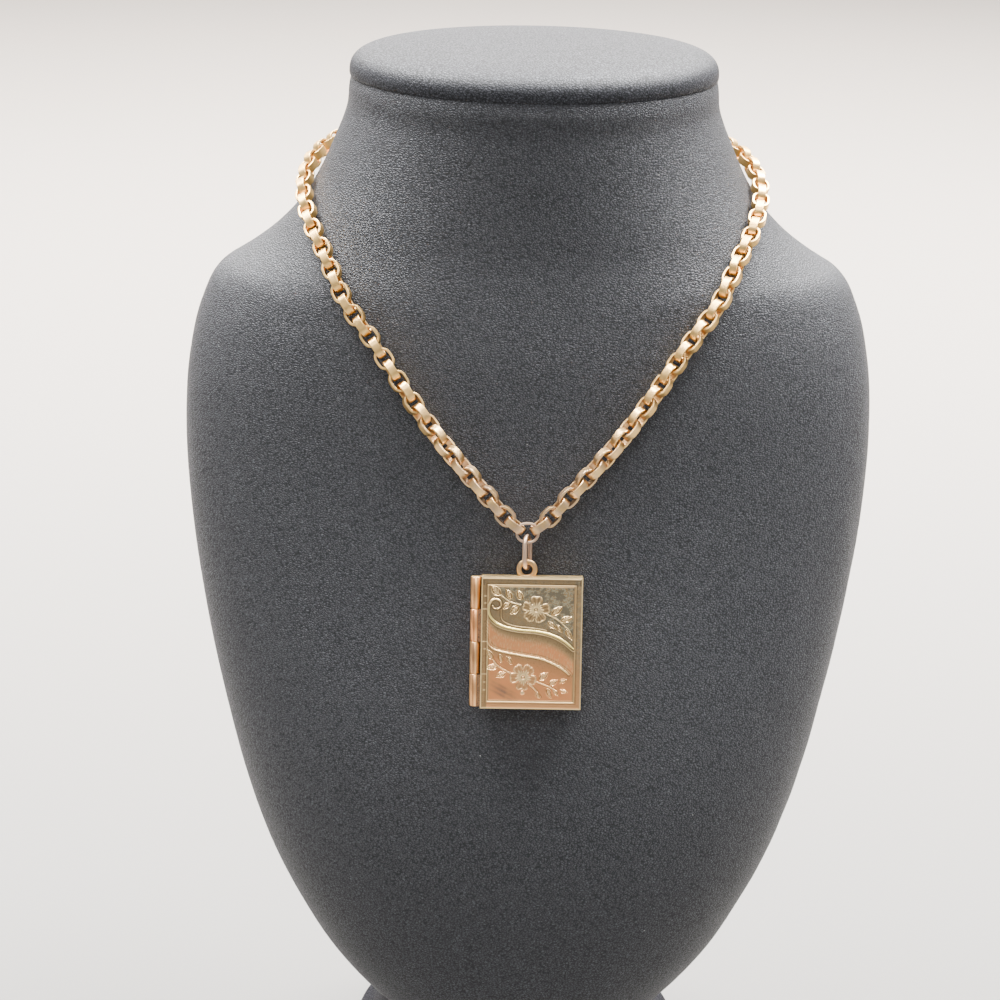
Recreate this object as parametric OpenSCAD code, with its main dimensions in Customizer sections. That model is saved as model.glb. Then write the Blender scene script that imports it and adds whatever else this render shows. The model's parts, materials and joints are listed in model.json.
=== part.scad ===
// Book locket on a belcher chain, shown on a covered neck bust.
// Millimetres, +Z up, front towards -Y, origin at the centre of the foot's underside.

/* [Bust] */
// Width of the bust across its widest part
bust_w = 171; // [160:1:182]
// Height of the covered body, from its lower tip to the top of the neck
bust_h = 243; // [232:1:254]
// Clear height under the lower tip
tip_clear = 25; // [20:1:30]
// Backward lean of the body, in degrees
bust_lean = 12.4; // [10:0.2:14]
// Depth of the chest in front of its widest line
chest_front = 41.3; // [38:0.1:45]
// Depth of the chest behind its widest line
chest_back = 9; // [8:0.5:12]
// Width of the neck at its top
neck_w = 88.6; // [82:0.2:94]
// Depth of the neck at its top
neck_d = 68; // [62:0.5:74]

/* [Neck cap] */
// Height of the padded cap at its middle
cap_h = 7.4; // [6:0.2:10]
// How far the cap stands out past the neck
cap_over = 0.7; // [0.3:0.1:1.5]
// Rounding of the cap's upper edge
cap_round = 4.4; // [3:0.1:5]

/* [Foot] */
// Radius of the foot on the ground
foot_r = 45; // [42:0.5:50]
// Radius of the foot's column at its top
column_r = 28; // [24:0.5:32]
// Height of the foot
foot_h = 100; // [85:1:115]
// Distance that the body stands in front of the foot's centre, at ground level
body_set = 36.1; // [34:0.1:39]

/* [Chain] */
// Length of a link, outside
link_l = 5.4; // [5.2:0.05:5.8]
// Width of a link, outside
link_w = 4.2; // [4:0.05:4.5]
// Width of the flat band that a link is bent from
link_band = 1.9; // [1.7:0.05:2.1]
// Thickness of the band
link_t = 0.58; // [0.5:0.01:0.62]
// Play between two links
link_play = 0.4; // [0.36:0.01:0.48]
// Length of the link at the bottom of the chain, outside
centre_l = 5.7; // [5.4:0.05:6.2]
// Width of the link at the bottom of the chain, outside
centre_w = 5; // [4.8:0.05:5.4]
// Width of its band
centre_band = 1.4; // [1.2:0.05:1.6]
// Angle above level at which the chain leaves that link, in degrees
chain_rise = 33; // [28:1:38]
// Outer diameter of the clasp ring
clasp_d = 7; // [6.6:0.1:8]
// Wire of the clasp ring
clasp_wire = 1.2; // [1:0.05:1.4]

/* [Jump ring] */
// Outer height of the oval jump ring
ring_h = 8.7; // [8:0.1:9.5]
// Outer width of the jump ring
ring_w = 5.2; // [5:0.05:5.6]
// Wire of the jump ring
ring_wire = 1.15; // [1:0.05:1.2]
// Turn of the ring about its long axis, in degrees
ring_turn = 18; // [10:1:22]

/* [Locket] */
// Height of the locket
locket_h = 31.35; // [29:0.05:34]
// Width of each half, without the hinge
half_w = 23.7; // [22:0.1:26]
// Thickness of each half
half_t = 2.3; // [2.1:0.05:2.6]
// Thickness of the walls and faces of the halves
wall = 0.55; // [0.45:0.05:0.7]
// Gap between the closed halves
half_gap = 0.1; // [0.08:0.01:0.2]
// Diameter of the hinge knuckles
knuckle_d = 2.5; // [2.4:0.05:2.8]
// Diameter of the hinge pin
pin_d = 0.9; // [0.8:0.05:1]
// Radial clearance of the hinge pin
pin_play = 0.05; // [0.03:0.01:0.08]
// Outer diameter of the soldered loop
loop_d = 4.95; // [4.7:0.05:5.3]
// Hole of the soldered loop
loop_hole = 2.55; // [2.4:0.05:2.7]
// Thickness of the soldered loop
loop_t = 1.2; // [1:0.05:1.3]

/* [Relief] */
// Distance of the frame line from the cover's edge
frame_inset = 1.3; // [1.1:0.05:1.5]
// Height of the ribs and of the frame line
rib_h = 0.35; // [0.25:0.05:0.45]
// Width of the ribs
rib_w = 0.5; // [0.4:0.05:0.6]
// Height of the flowers and leaves
leaf_h = 0.28; // [0.2:0.02:0.4]
// Radius of the upper flower
flower_r = 3.4; // [3:0.1:3.5]

/* [Hidden] */

leatherette = [0.22, 0.23, 0.24];
pale_gold = [0.83, 0.72, 0.50];
worn_gold = [0.72, 0.62, 0.52];
rose_gold = [0.80, 0.62, 0.47];
eps = 0.01;

// Gap between two pieces that rest on each other
seat_gap = 0.3;
// Gap between two pieces that hang in each other
hang_gap = 0.15;
$fn = 48;

// Points round a section of the body, and rings in each step of its table
section_points = 48;
rings_per_step = 2;

// Sections of the body from the tip up: height share of bust_h, blend from
// chest sizes (0) to neck sizes (1), then width, front depth and back depth as
// shares of those blended sizes, and the roundness of the front and the back
SECTIONS = [
    [0.000, 0.0, 0.05, 0.07, 0.25, 2.00, 2.2],
    [0.012, 0.0, 0.22, 0.39, 0.45, 2.00, 2.6],
    [0.041, 0.0, 0.35, 0.61, 0.72, 2.00, 3.0],
    [0.086, 0.0, 0.51, 0.77, 0.94, 2.00, 3.2],
    [0.152, 0.0, 0.65, 0.91, 1.00, 2.05, 3.2],
    [0.243, 0.0, 0.78, 0.99, 1.00, 2.10, 3.2],
    [0.354, 0.0, 0.876, 1.00, 1.00, 2.10, 3.2],
    [0.477, 0.0, 0.951, 0.93, 1.00, 2.10, 3.2],
    [0.601, 0.0, 0.995, 0.86, 1.10, 2.10, 3.2],
    [0.683, 0.1, 1.048, 0.852, 1.00, 2.10, 3.2],
    [0.745, 0.2, 1.077, 0.855, 0.96, 2.10, 3.0],
    [0.784, 0.3, 1.095, 0.855, 0.94, 2.10, 2.8],
    [0.809, 0.4, 1.103, 0.86, 0.92, 2.10, 2.6],
    [0.825, 0.5, 1.075, 0.87, 0.93, 2.10, 2.4],
    [0.844, 0.6, 1.04, 0.88, 0.96, 2.10, 2.3],
    [0.868, 0.7, 1.012, 0.90, 1.00, 2.10, 2.2],
    [0.897, 0.8, 1.00, 0.925, 1.02, 2.05, 2.1],
    [0.930, 0.9, 1.005, 0.957, 1.02, 2.00, 2.0],
    [0.967, 1.0, 1.02, 0.991, 0.99, 2.00, 2.0],
    [0.996, 1.0, 1.00, 1.00, 1.00, 2.00, 2.0],
    [1.000, 1.0, 0.985, 0.98, 0.98, 2.00, 2.0]
];

// Route of the chain's right run over the body, from past the centre link to the
// clasp: height share of bust_h and angle round the body from its front
CHAIN_ROUTE = [
    [0.637, 6.5],
    [0.672, 11.6],
    [0.706, 16.3],
    [0.740, 20.9],
    [0.772, 25.8],
    [0.802, 32.2],
    [0.824, 39.8],
    [0.842, 48.2],
    [0.857, 57],
    [0.870, 66],
    [0.882, 75.5],
    [0.893, 85.5],
    [0.9035, 96],
    [0.912, 107],
    [0.919, 119],
    [0.925, 132],
    [0.9295, 147],
    [0.932, 163],
    [0.9325, 180]
];

// Turns of the links about the chain's run, in degrees, by the number of the link
// from the centre link
LEFT_TURNS = [[0, 7], [1, 7], [5, 24], [7, 34], [9, 45], [11, 54], [13, 63], [15, 74],
              [19, 90], [25, 90], [58, 0]];
RIGHT_TURNS = [[0, 7], [1, 7], [6, 24], [9, 35], [12, 44], [16, 50], [34, 46], [58, 0]];

// Height share of the centre link's place on the chest
CENTRE_SHARE = 0.597;

function mix(a, b, k) = a + (b - a) * k;
function unit(v) = v / norm(v);
function signed_pow(v, p) = sign(v) * pow(abs(v), p);

// Sections in millimetres: height, half width, front, back, two exponents
body_rows = [for (s = SECTIONS) [
    tip_clear + s[0] * bust_h,
    s[2] * mix(bust_w, neck_w, s[1]) / 2,
    s[3] * mix(chest_front, neck_d / 2, s[1]),
    s[4] * mix(chest_back, neck_d / 2, s[1]),
    s[5],
    s[6]
]];
last_row = len(body_rows) - 1;

// Slope of the rows against height, from the neighbours on both sides
function row_slope(i) =
    let (a = body_rows[max(i - 1, 0)],
         b = body_rows[i],
         c = body_rows[min(i + 1, last_row)],
         below = i == 0 ? (c - b) / (c[0] - b[0]) : (b - a) / (b[0] - a[0]),
         above = i == last_row ? below : (c - b) / (c[0] - b[0]),
         k = i == 0 || i == last_row ? 0 : (b[0] - a[0]) / (c[0] - a[0]))
    mix(below, above, k);
row_slopes = [for (i = [0 : last_row]) row_slope(i)];

function span_of(z, i = 0) =
    i >= last_row - 1 || z < body_rows[i + 1][0] ? i : span_of(z, i + 1);

// A row at any height, on a smooth curve through the table
function row_at(z) =
    let (i = span_of(z),
         a = body_rows[i],
         b = body_rows[i + 1],
         h = b[0] - a[0],
         t = min(max((z - a[0]) / h, 0), 1))
    (2 * t ^ 3 - 3 * t ^ 2 + 1) * a + (t ^ 3 - 2 * t ^ 2 + t) * h * row_slopes[i]
    + (3 * t ^ 2 - 2 * t ^ 3) * b + (t ^ 3 - t ^ 2) * h * row_slopes[i + 1];

// A point of the body's skin at a height and an angle from the front
function skin(z, angle) =
    let (r = row_at(z),
         c = cos(angle),
         x = r[1] * signed_pow(sin(angle), 2 / (c > 0 ? r[4] : r[5])),
         y = c > 0 ? -r[2] * pow(c, 2 / r[4]) : r[3] * pow(-c, 2 / r[5]))
    [x, y + z * tan(bust_lean) - body_set, z];

function skin_normal(z, angle) =
    unit(cross(skin(z, angle + 0.1) - skin(z, angle - 0.1),
               skin(z + 0.4, angle) - skin(z - 0.4, angle)));

// Rings of points, lowest first, closed into a solid
module loft(rings) {
    n = len(rings[0]);
    top = len(rings) - 1;
    polyhedron(
        points = [for (ring = rings) each ring],
        faces = [
            [for (j = [0 : n - 1]) j],
            [for (j = [n - 1 : -1 : 0]) top * n + j],
            for (i = [0 : top - 1], j = [0 : n - 1])
                [i * n + j, (i + 1) * n + j, i * n + (j + 1) % n],
            for (i = [0 : top - 1], j = [0 : n - 1])
                [i * n + (j + 1) % n, (i + 1) * n + j, (i + 1) * n + (j + 1) % n]
        ]);
}

function section_angles() = [for (j = [0 : section_points - 1]) j * 360 / section_points];

// Bust
ring_heights = [
    for (i = [0 : last_row - 1], k = [0 : rings_per_step - 1])
        mix(body_rows[i][0], body_rows[i + 1][0], k / rings_per_step),
    body_rows[last_row][0]
];

module bust_body() {
    color(leatherette)
        loft([for (z = ring_heights) [for (a = section_angles()) skin(z, a)]]);
}

// Steps of the cap's profile as inset from its widest outline and height
cap_bottom_round = 1.8;
cap_crown = cap_h - cap_bottom_round - cap_round;
cap_profile = [
    for (a = [0 : 30 : 90])
        [cap_bottom_round * (1 - sin(a)), cap_bottom_round * (1 - cos(a))],
    for (a = [15 : 15 : 75])
        [cap_round * (1 - cos(a)), cap_bottom_round + cap_round * sin(a)],
    for (k = [0.35, 0.7, 1])
        [cap_round + k * (neck_d / 2 - 2 * cap_round),
         cap_bottom_round + cap_round + cap_crown * sin(90 * k)]
];

module neck_cap() {
    top_z = body_rows[last_row][0];
    centre_y = top_z * tan(bust_lean) - body_set;
    color(leatherette)
        loft([for (p = cap_profile)
            [for (a = section_angles())
                [(neck_w / 2 + cap_over - p[0]) * sin(a),
                 centre_y - (neck_d / 2 + cap_over - p[0]) * cos(a),
                 top_z + seat_gap + p[1]]]]);
}

// Foot: a turned column with a flared base, cut flat to lie against the back
foot_edge = 3;
foot_neck_z = 32;
column_round = 8;
// How much wider the column is where the base's flare ends
column_flare = 8;
foot_waist = column_r + column_flare;
foot_outline = [
    [0, 0],
    [foot_r, 0],
    for (a = [0 : 15 : 90])
        [foot_r - (foot_r - foot_waist) * sin(a),
         foot_edge + (foot_neck_z - foot_edge) * (1 - cos(a))],
    for (a = [0 : 15 : 90])
        [column_r - column_round * (1 - cos(a)), foot_h - column_round * (1 - sin(a))],
    [0, foot_h]
];

module bust_foot() {
    body_back_y = chest_back - body_set + seat_gap / cos(bust_lean);
    color(leatherette)
        difference() {
            rotate_extrude($fn = 96) polygon(foot_outline);
            translate([0, body_back_y, 0]) rotate([-bust_lean, 0, 0])
                translate([-foot_r - 1, -3 * foot_r, -foot_r])
                    cube([2 * foot_r + 2, 3 * foot_r, 2 * foot_h]);
        }
}

// Pendant frame: origin at the centre link's middle, Z up along the chest, -Y outwards
pendant_seat = ring_w / 2 + seat_gap;
centre_z = tip_clear + CENTRE_SHARE * bust_h;
pendant_drop = centre_w + ring_h + locket_h;
chest_top = skin(centre_z, 0);
chest_low = skin(centre_z - pendant_drop * cos(bust_lean), 0);
chest_lean = atan((chest_top[1] - chest_low[1]) / (chest_top[2] - chest_low[2]));
chest_out = [0, -cos(chest_lean), sin(chest_lean)];
chest_up = [0, sin(chest_lean), cos(chest_lean)];

module on_chest() {
    translate(chest_top + pendant_seat * chest_out) rotate([-chest_lean, 0, 0]) children();
}

// Chain
chain_seat = norm([link_w, link_band]) / 2 + seat_gap;

// How far a band stands off the bottom of a round hollow that holds it
function sag(radius, band) = radius - sqrt(radius ^ 2 - (band / 2) ^ 2);

// Half inner length and inner end radius of a link
link_in = link_l / 2 - link_t;
link_in_r = link_w / 2 - link_t;
taut_pitch = 2 * (link_in - sag(link_in_r, link_band)) - link_play;

// From the centre link's middle to the middle of the first link, which leaves it
// at its round end, and from the clasp's middle to that of the last link
centre_in_r = centre_w / 2 - link_t;
centre_end_x = (centre_l - centre_w) / 2;
centre_hole = centre_end_x * cos(chain_rise)
              + sqrt(centre_in_r ^ 2 - (centre_end_x * sin(chain_rise)) ^ 2);
centre_reach = centre_hole - sag(centre_in_r, link_band)
               + link_in - sag(link_in_r, centre_band) - link_play;
clasp_in_r = clasp_d / 2 - clasp_wire;
clasp_reach = clasp_in_r - sag(clasp_in_r, link_band) + link_in - link_play;

function curve(p, i, t) =
    let (n = len(p) - 1,
         a = p[max(i - 1, 0)],
         b = p[i],
         c = p[i + 1],
         d = p[min(i + 2, n)])
    0.5 * (2 * b + (c - a) * t + (2 * a - 5 * b + 4 * c - d) * t ^ 2
           + (3 * b - a - 3 * c + d) * t ^ 3);
function smooth(p, steps) = [
    for (i = [0 : len(p) - 2], k = [0 : steps - 1]) curve(p, i, k / steps),
    p[len(p) - 1]
];

// The chain's middle along the route, and the outward direction there: it starts
// at the centre link's middle and runs straight until the first link's far end
start_point = chest_top + pendant_seat * chest_out;
start_run = cos(chain_rise) * [1, 0, 0] + sin(chain_rise) * chest_up;
route_places = [for (p = CHAIN_ROUTE) [tip_clear + p[0] * bust_h, p[1]]];
place_normals = [
    chest_out,
    chest_out,
    for (p = route_places) skin_normal(p[0], p[1])
];
place_points = [
    start_point,
    start_point + (centre_reach + link_l / 4) * start_run,
    for (p = route_places) skin(p[0], p[1]) + chain_seat * skin_normal(p[0], p[1])
];
route_points = smooth(place_points, 8);
route_normals = smooth(place_normals, 8);
route_lengths = [
    for (i = 0, d = 0; i < len(route_points);
         i = i + 1, d = d + (i < len(route_points) ? norm(route_points[i] - route_points[i - 1]) : 0))
        d
];
route_end = route_lengths[len(route_lengths) - 1];

function along(d, list, axis) =
    lookup(d, [for (i = [0 : len(list) - 1]) [route_lengths[i], list[i][axis]]]);
function route_point(d) = [for (axis = [0 : 2]) along(d, route_points, axis)];
function route_normal(d) = unit([for (axis = [0 : 2]) along(d, route_normals, axis)]);

// An even number of steps, so that the run ends as it starts, with a link on edge
run_length = route_end - clasp_reach - centre_reach;
run_steps = 2 * ceil(run_length / taut_pitch / 2);
link_pitch = run_length / run_steps;

// A flat oval with round ends
module oval(length, width) {
    square([length - width, width], center = true);
    for (side = [-1, 1])
        translate([side * (length - width) / 2, 0])
            circle(d = width);
}

module band_link(length, width, band, thickness) {
    linear_extrude(band, center = true)
        difference() {
            oval(length, width);
            oval(length - 2 * thickness, width - 2 * thickness);
        }
}

// Children stand on a point with their X along one direction and Z along another
module placed(point, along_x, along_z) {
    z = unit(along_z - (along_z * along_x) * along_x);
    y = cross(z, along_x);
    multmatrix([
        [along_x[0], y[0], z[0], point[0]],
        [along_x[1], y[1], z[1], point[1]],
        [along_x[2], y[2], z[2], point[2]],
        [0, 0, 0, 1]
    ]) children();
}

module chain_run(turns) {
    for (j = [0 : run_steps]) {
        d = centre_reach + j * link_pitch;
        here = route_point(d);
        tangent = unit(route_point(d + link_l / 4) - route_point(d - link_l / 4));
        placed(here, tangent, route_normal(d))
            rotate([(j % 2 == 0 ? 90 : 0) + lookup(j, turns), 0, 0])
                band_link(link_l, link_w, link_band, link_t);
    }
}

module chain_right() {
    color(pale_gold) chain_run(RIGHT_TURNS);
}

module chain_left() {
    color(pale_gold) mirror([1, 0, 0]) chain_run(LEFT_TURNS);
}

module centre_link() {
    color(worn_gold)
        on_chest() rotate([90, 0, 0]) band_link(centre_l, centre_w, centre_band, link_t);
}

module clasp_ring() {
    color(pale_gold)
        placed(route_point(route_end), [1, 0, 0], route_normal(route_end))
            rotate_extrude()
                translate([(clasp_d - clasp_wire) / 2, 0]) circle(d = clasp_wire);
}

// Jump ring: its upper bend turns about the swing axis
ring_bend_r = (ring_w - ring_wire) / 2;
ring_in_r = ring_w / 2 - ring_wire;
ring_straight = ring_h - ring_w;

// How far past the bend's middle a bar of a thickness lies in the turned ring
function bar_reach(thickness) =
    let (half = (thickness + ring_wire * sin(ring_turn)) / 2 / cos(ring_turn))
    sqrt((ring_in_r - hang_gap) ^ 2 - half ^ 2);
swing_z = -centre_w / 2 + link_t - bar_reach(centre_band);

module ring_bend() {
    rotate([90, 0, 0])
        rotate_extrude(angle = 180)
            translate([ring_bend_r, 0]) circle(d = ring_wire);
}

module jump_ring() {
    color(worn_gold)
        on_chest() translate([0, 0, swing_z]) rotate([0, 0, 90 - ring_turn]) {
            ring_bend();
            translate([0, 0, -ring_straight]) rotate([180, 0, 0]) ring_bend();
            for (side = [-1, 1])
                translate([side * ring_bend_r, 0, -ring_straight])
                    cylinder(d = ring_wire, h = ring_straight);
        }
}

// Locket frame: origin at the loop's middle, X to the right, Z up along the locket
loop_z = swing_z - ring_straight - bar_reach(loop_t) - loop_hole / 2;
// Depth of the loop's middle from the locket's back face
loop_depth = 1.5;
// Depth to which the loop is sunk into the locket's top edge
loop_sink = 1;
loop_rise = loop_d / 2 - loop_sink;
locket_tilt = asin((pendant_seat - loop_depth - seat_gap) / (locket_h + loop_rise));

module in_locket() {
    on_chest() translate([0, 0, loop_z]) rotate([locket_tilt, 0, 0])
        translate([0, 0, -loop_rise]) children();
}

// Places across the locket, from the loop's middle line and from its back face
knuckle_gap = 0.1;
spine_w = knuckle_d + knuckle_gap;
half_x0 = -(half_w + spine_w) / 2 + spine_w;
hinge_x = -(half_w + spine_w) / 2 + knuckle_d / 2;
back_y = loop_depth;
hinge_y = back_y - half_t - half_gap / 2;
knuckle_count = 4;
// How far the hinge stops short of the locket's ends
hinge_inset = 0.15;
hinge_h = locket_h - 2 * hinge_inset;
knuckle_h = hinge_h / knuckle_count;

// A shallow tray, open towards +Y, its outer face at y = 0
module tray() {
    difference() {
        translate([half_x0, 0, -locket_h]) cube([half_w, half_t, locket_h]);
        translate([half_x0 + wall, wall, -locket_h + wall])
            cube([half_w - 2 * wall, half_t, locket_h - 2 * wall]);
    }
}

// Knuckles of one half: first is the number of the lowest one, side is -1 for the front
module knuckles(first, side) {
    for (k = [first : 2 : knuckle_count - 1])
        translate([hinge_x, hinge_y, hinge_inset - locket_h + k * knuckle_h + knuckle_gap / 2])
            difference() {
                union() {
                    cylinder(d = knuckle_d, h = knuckle_h - knuckle_gap);
                    translate([0, side < 0 ? -knuckle_d / 2 : half_gap / 2, 0])
                        cube([knuckle_d / 2 + knuckle_gap + eps,
                              (knuckle_d - half_gap) / 2,
                              knuckle_h - knuckle_gap]);
                }
                translate([0, 0, -1]) cylinder(d = pin_d + 2 * pin_play, h = knuckle_h + 2);
            }
}

module locket_back() {
    color(rose_gold)
        in_locket() {
            translate([0, back_y, 0]) mirror([0, 1, 0]) tray();
            knuckles(1, 1);
            difference() {
                translate([0, 0, loop_rise]) rotate([90, 0, 0])
                    cylinder(d = loop_d, h = loop_t, center = true);
                translate([0, 0, loop_rise]) rotate([90, 0, 0])
                    cylinder(d = loop_hole, h = loop_t + 1, center = true);
                translate([-loop_d, -loop_d, -loop_d - wall / 2]) cube([2 * loop_d, 2 * loop_d, loop_d]);
            }
        }
}

module hinge_pin() {
    color(pale_gold)
        in_locket() translate([hinge_x, hinge_y, hinge_inset - locket_h])
            cylinder(d = pin_d, h = hinge_h);
}

// Relief, drawn on the cover seen from the front with its middle as origin.
// Its places are shares of the half width and half height of the cover.
cover_hw = half_w / 2;
cover_hh = locket_h / 2;
function on_cover(p) = [p[0] * cover_hw, p[1] * cover_hh];

UPPER_RIB = [[-0.69, 0.56], [-0.63, 0.60], [-0.66, 0.67], [-0.76, 0.68], [-0.85, 0.62],
             [-0.86, 0.50], [-0.81, 0.38], [-0.71, 0.30], [-0.56, 0.245], [-0.36, 0.21],
             [-0.13, 0.19], [0.13, 0.18], [0.36, 0.155], [0.56, 0.105], [0.71, 0.04],
             [0.82, -0.04], [0.88, -0.09]];
LOWER_RIB = [[-0.89, 0.07], [-0.86, 0.01], [-0.78, -0.06], [-0.63, -0.11], [-0.44, -0.15],
             [-0.16, -0.18], [0.12, -0.2], [0.35, -0.24], [0.54, -0.31], [0.69, -0.39],
             [0.78, -0.46]];
STEMS = [
    [[-0.63, 0.75], [-0.50, 0.69], [-0.34, 0.62], [-0.12, 0.57]],
    [[0.30, 0.46], [0.54, 0.37], [0.70, 0.24], [0.82, 0.06]],
    [[-0.81, -0.27], [-0.64, -0.39], [-0.45, -0.46], [-0.30, -0.49]],
    [[-0.05, -0.58], [0.10, -0.68], [0.20, -0.80]],
    [[0.02, -0.54], [0.28, -0.62], [0.48, -0.72]]
];
// Leaves: place, length as a share of the half height, and direction in degrees
LEAVES = [
    [[-0.71, 0.80], 0.159, 140], [[-0.46, 0.75], 0.121, 125], [[-0.23, 0.73], 0.121, 110],
    [[-0.48, 0.585], 0.115, 215], [[-0.33, 0.50], 0.121, 225],
    [[0.54, 0.51], 0.134, 25], [[0.72, 0.375], 0.134, 10], [[0.46, 0.30], 0.108, 235],
    [[0.60, 0.225], 0.108, 245], [[0.75, 0.20], 0.096, 60],
    [[-0.80, -0.18], 0.108, 130], [[-0.63, -0.235], 0.108, 120], [[-0.48, -0.265], 0.108, 110],
    [[-0.77, -0.365], 0.121, 190], [[-0.58, -0.48], 0.121, 200],
    [[0.27, -0.50], 0.128, 35], [[0.44, -0.61], 0.115, 30], [[0.40, -0.79], 0.108, 290],
    [[0.65, -0.60], 0.096, 70], [[0.71, -0.73], 0.096, 40], [[0.14, -0.87], 0.083, 250]
];
// Flowers: place, radius as a share of the upper flower's, and direction of the
// first petal in degrees
FLOWERS = [[[0.08, 0.517], 1, 90], [[-0.15, -0.51], 0.97, -90]];
petal_count = 5;
// A petal's middle and half width, the depth of the notch in its tip and the
// radius of the flower's heart, as shares of the flower's radius
petal_middle = 0.6;
petal_half = 0.4;
petal_notch = 0.1;
flower_heart = 0.25;
// How much wider a petal is towards its tip than at its middle
petal_flare = 0.23;
leaf_shape = 0.36;

// A strip of even width along smoothed points
module strip(points, width) {
    line = smooth(points, 3);
    n = len(line) - 1;
    sides = [for (i = [0 : n])
        let (d = unit(line[min(i + 1, n)] - line[max(i - 1, 0)]))
        [-d[1], d[0]] * width / 2];
    polygon(concat([for (i = [0 : n]) line[i] + sides[i]],
                   [for (i = [n : -1 : 0]) line[i] - sides[i]]));
}

// A pointed oval from the origin along X
module leaf(length) {
    polygon([for (a = [0 : 20 : 340])
        [length * (1 - cos(a)) / 2, length * leaf_shape / 2 * sin(a) * sqrt(abs(sin(a)))]]);
}

// Notched petals round a middle
module flower(radius, turn) {
    for (k = [0 : petal_count - 1])
        rotate(k * 360 / petal_count + turn)
            polygon(radius * [for (a = [0 : 24 : 336])
                [petal_middle + (1 - petal_middle) * cos(a) - (a == 0 ? petal_notch : 0),
                 petal_half * sin(a) * (1 + petal_flare * cos(a))]]);
}

module frame_line() {
    outer = [half_w - 2 * frame_inset, locket_h - 2 * frame_inset];
    difference() {
        square(outer, center = true);
        square(outer - [rib_w, rib_w], center = true);
    }
}

module relief() {
    overlap = wall / 2;
    translate([0, 0, -overlap]) {
        linear_extrude(rib_h + overlap) {
            frame_line();
            for (rib = [UPPER_RIB, LOWER_RIB])
                strip([for (p = rib) on_cover(p)], rib_w);
        }
        linear_extrude(leaf_h + overlap) {
            for (stem = STEMS)
                strip([for (p = stem) on_cover(p)], rib_w / 2);
            for (l = LEAVES)
                translate(on_cover(l[0])) rotate(l[2])
                    translate([-l[1] * cover_hh / 2, 0]) leaf(l[1] * cover_hh);
            for (f = FLOWERS)
                translate(on_cover(f[0])) flower(f[1] * flower_r, f[2]);
        }
        for (f = FLOWERS)
            translate(on_cover(f[0]))
                cylinder(r = f[1] * flower_r * flower_heart, h = leaf_h + rib_h / 2 + overlap);
    }
}

module front_cover() {
    front_y = back_y - 2 * half_t - half_gap;
    color(rose_gold)
        in_locket() {
            translate([0, front_y, 0]) tray();
            knuckles(0, -1);
            translate([half_x0 + cover_hw, front_y, -cover_hh]) rotate([90, 0, 0]) relief();
        }
}

bust_body();
neck_cap();
bust_foot();
chain_left();
chain_right();
centre_link();
clasp_ring();
jump_ring();
locket_back();
hinge_pin();
front_cover();
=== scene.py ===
"""Looks of a book locket on a belcher chain, shown round a covered neck bust.

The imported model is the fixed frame. Each sub-assembly is a class that builds its detailed
pieces round that frame and dresses them. Lengths are in metres where nothing else is said.
"""

import json
import logging
import math
from collections.abc import Sequence
from dataclasses import dataclass
from enum import Enum
from typing import Any

import bmesh
import bpy
import numpy as np
from mathutils import Matrix, Vector

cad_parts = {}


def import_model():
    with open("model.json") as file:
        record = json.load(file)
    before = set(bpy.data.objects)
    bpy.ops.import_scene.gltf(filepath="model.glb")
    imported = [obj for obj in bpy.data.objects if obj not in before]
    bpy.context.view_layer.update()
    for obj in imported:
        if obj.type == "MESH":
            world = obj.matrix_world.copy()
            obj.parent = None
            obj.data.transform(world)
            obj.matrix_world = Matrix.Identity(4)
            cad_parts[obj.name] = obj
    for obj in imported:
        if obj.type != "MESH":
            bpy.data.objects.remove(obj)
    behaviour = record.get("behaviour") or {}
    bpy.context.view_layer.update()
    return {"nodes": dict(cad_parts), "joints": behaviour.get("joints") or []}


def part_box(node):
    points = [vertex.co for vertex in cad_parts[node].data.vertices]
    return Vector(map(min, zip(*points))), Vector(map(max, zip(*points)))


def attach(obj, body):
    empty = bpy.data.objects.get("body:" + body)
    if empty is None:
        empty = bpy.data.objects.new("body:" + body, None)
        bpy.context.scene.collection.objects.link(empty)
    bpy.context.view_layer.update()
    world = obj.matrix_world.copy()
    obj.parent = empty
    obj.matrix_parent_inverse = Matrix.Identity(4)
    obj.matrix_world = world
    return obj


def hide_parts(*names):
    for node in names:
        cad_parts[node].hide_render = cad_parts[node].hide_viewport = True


MM = 0.001
MERGE = 0.0005 * MM
LOG = logging.getLogger("book_locket")

Colour = tuple[float, float, float]
Place = tuple[float, float, float]
Point = tuple[float, float]
Span = tuple[float, float]
Values = np.ndarray
Nodes = dict[str, bpy.types.Object]
BMVert = bmesh.types.BMVert
BMEdge = bmesh.types.BMEdge
BMFace = bmesh.types.BMFace


class Side(Enum):
    """Which half of the chain a piece belongs to, as seen from the front."""

    LEFT = "left"
    RIGHT = "right"


# Shader arithmetic


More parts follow.
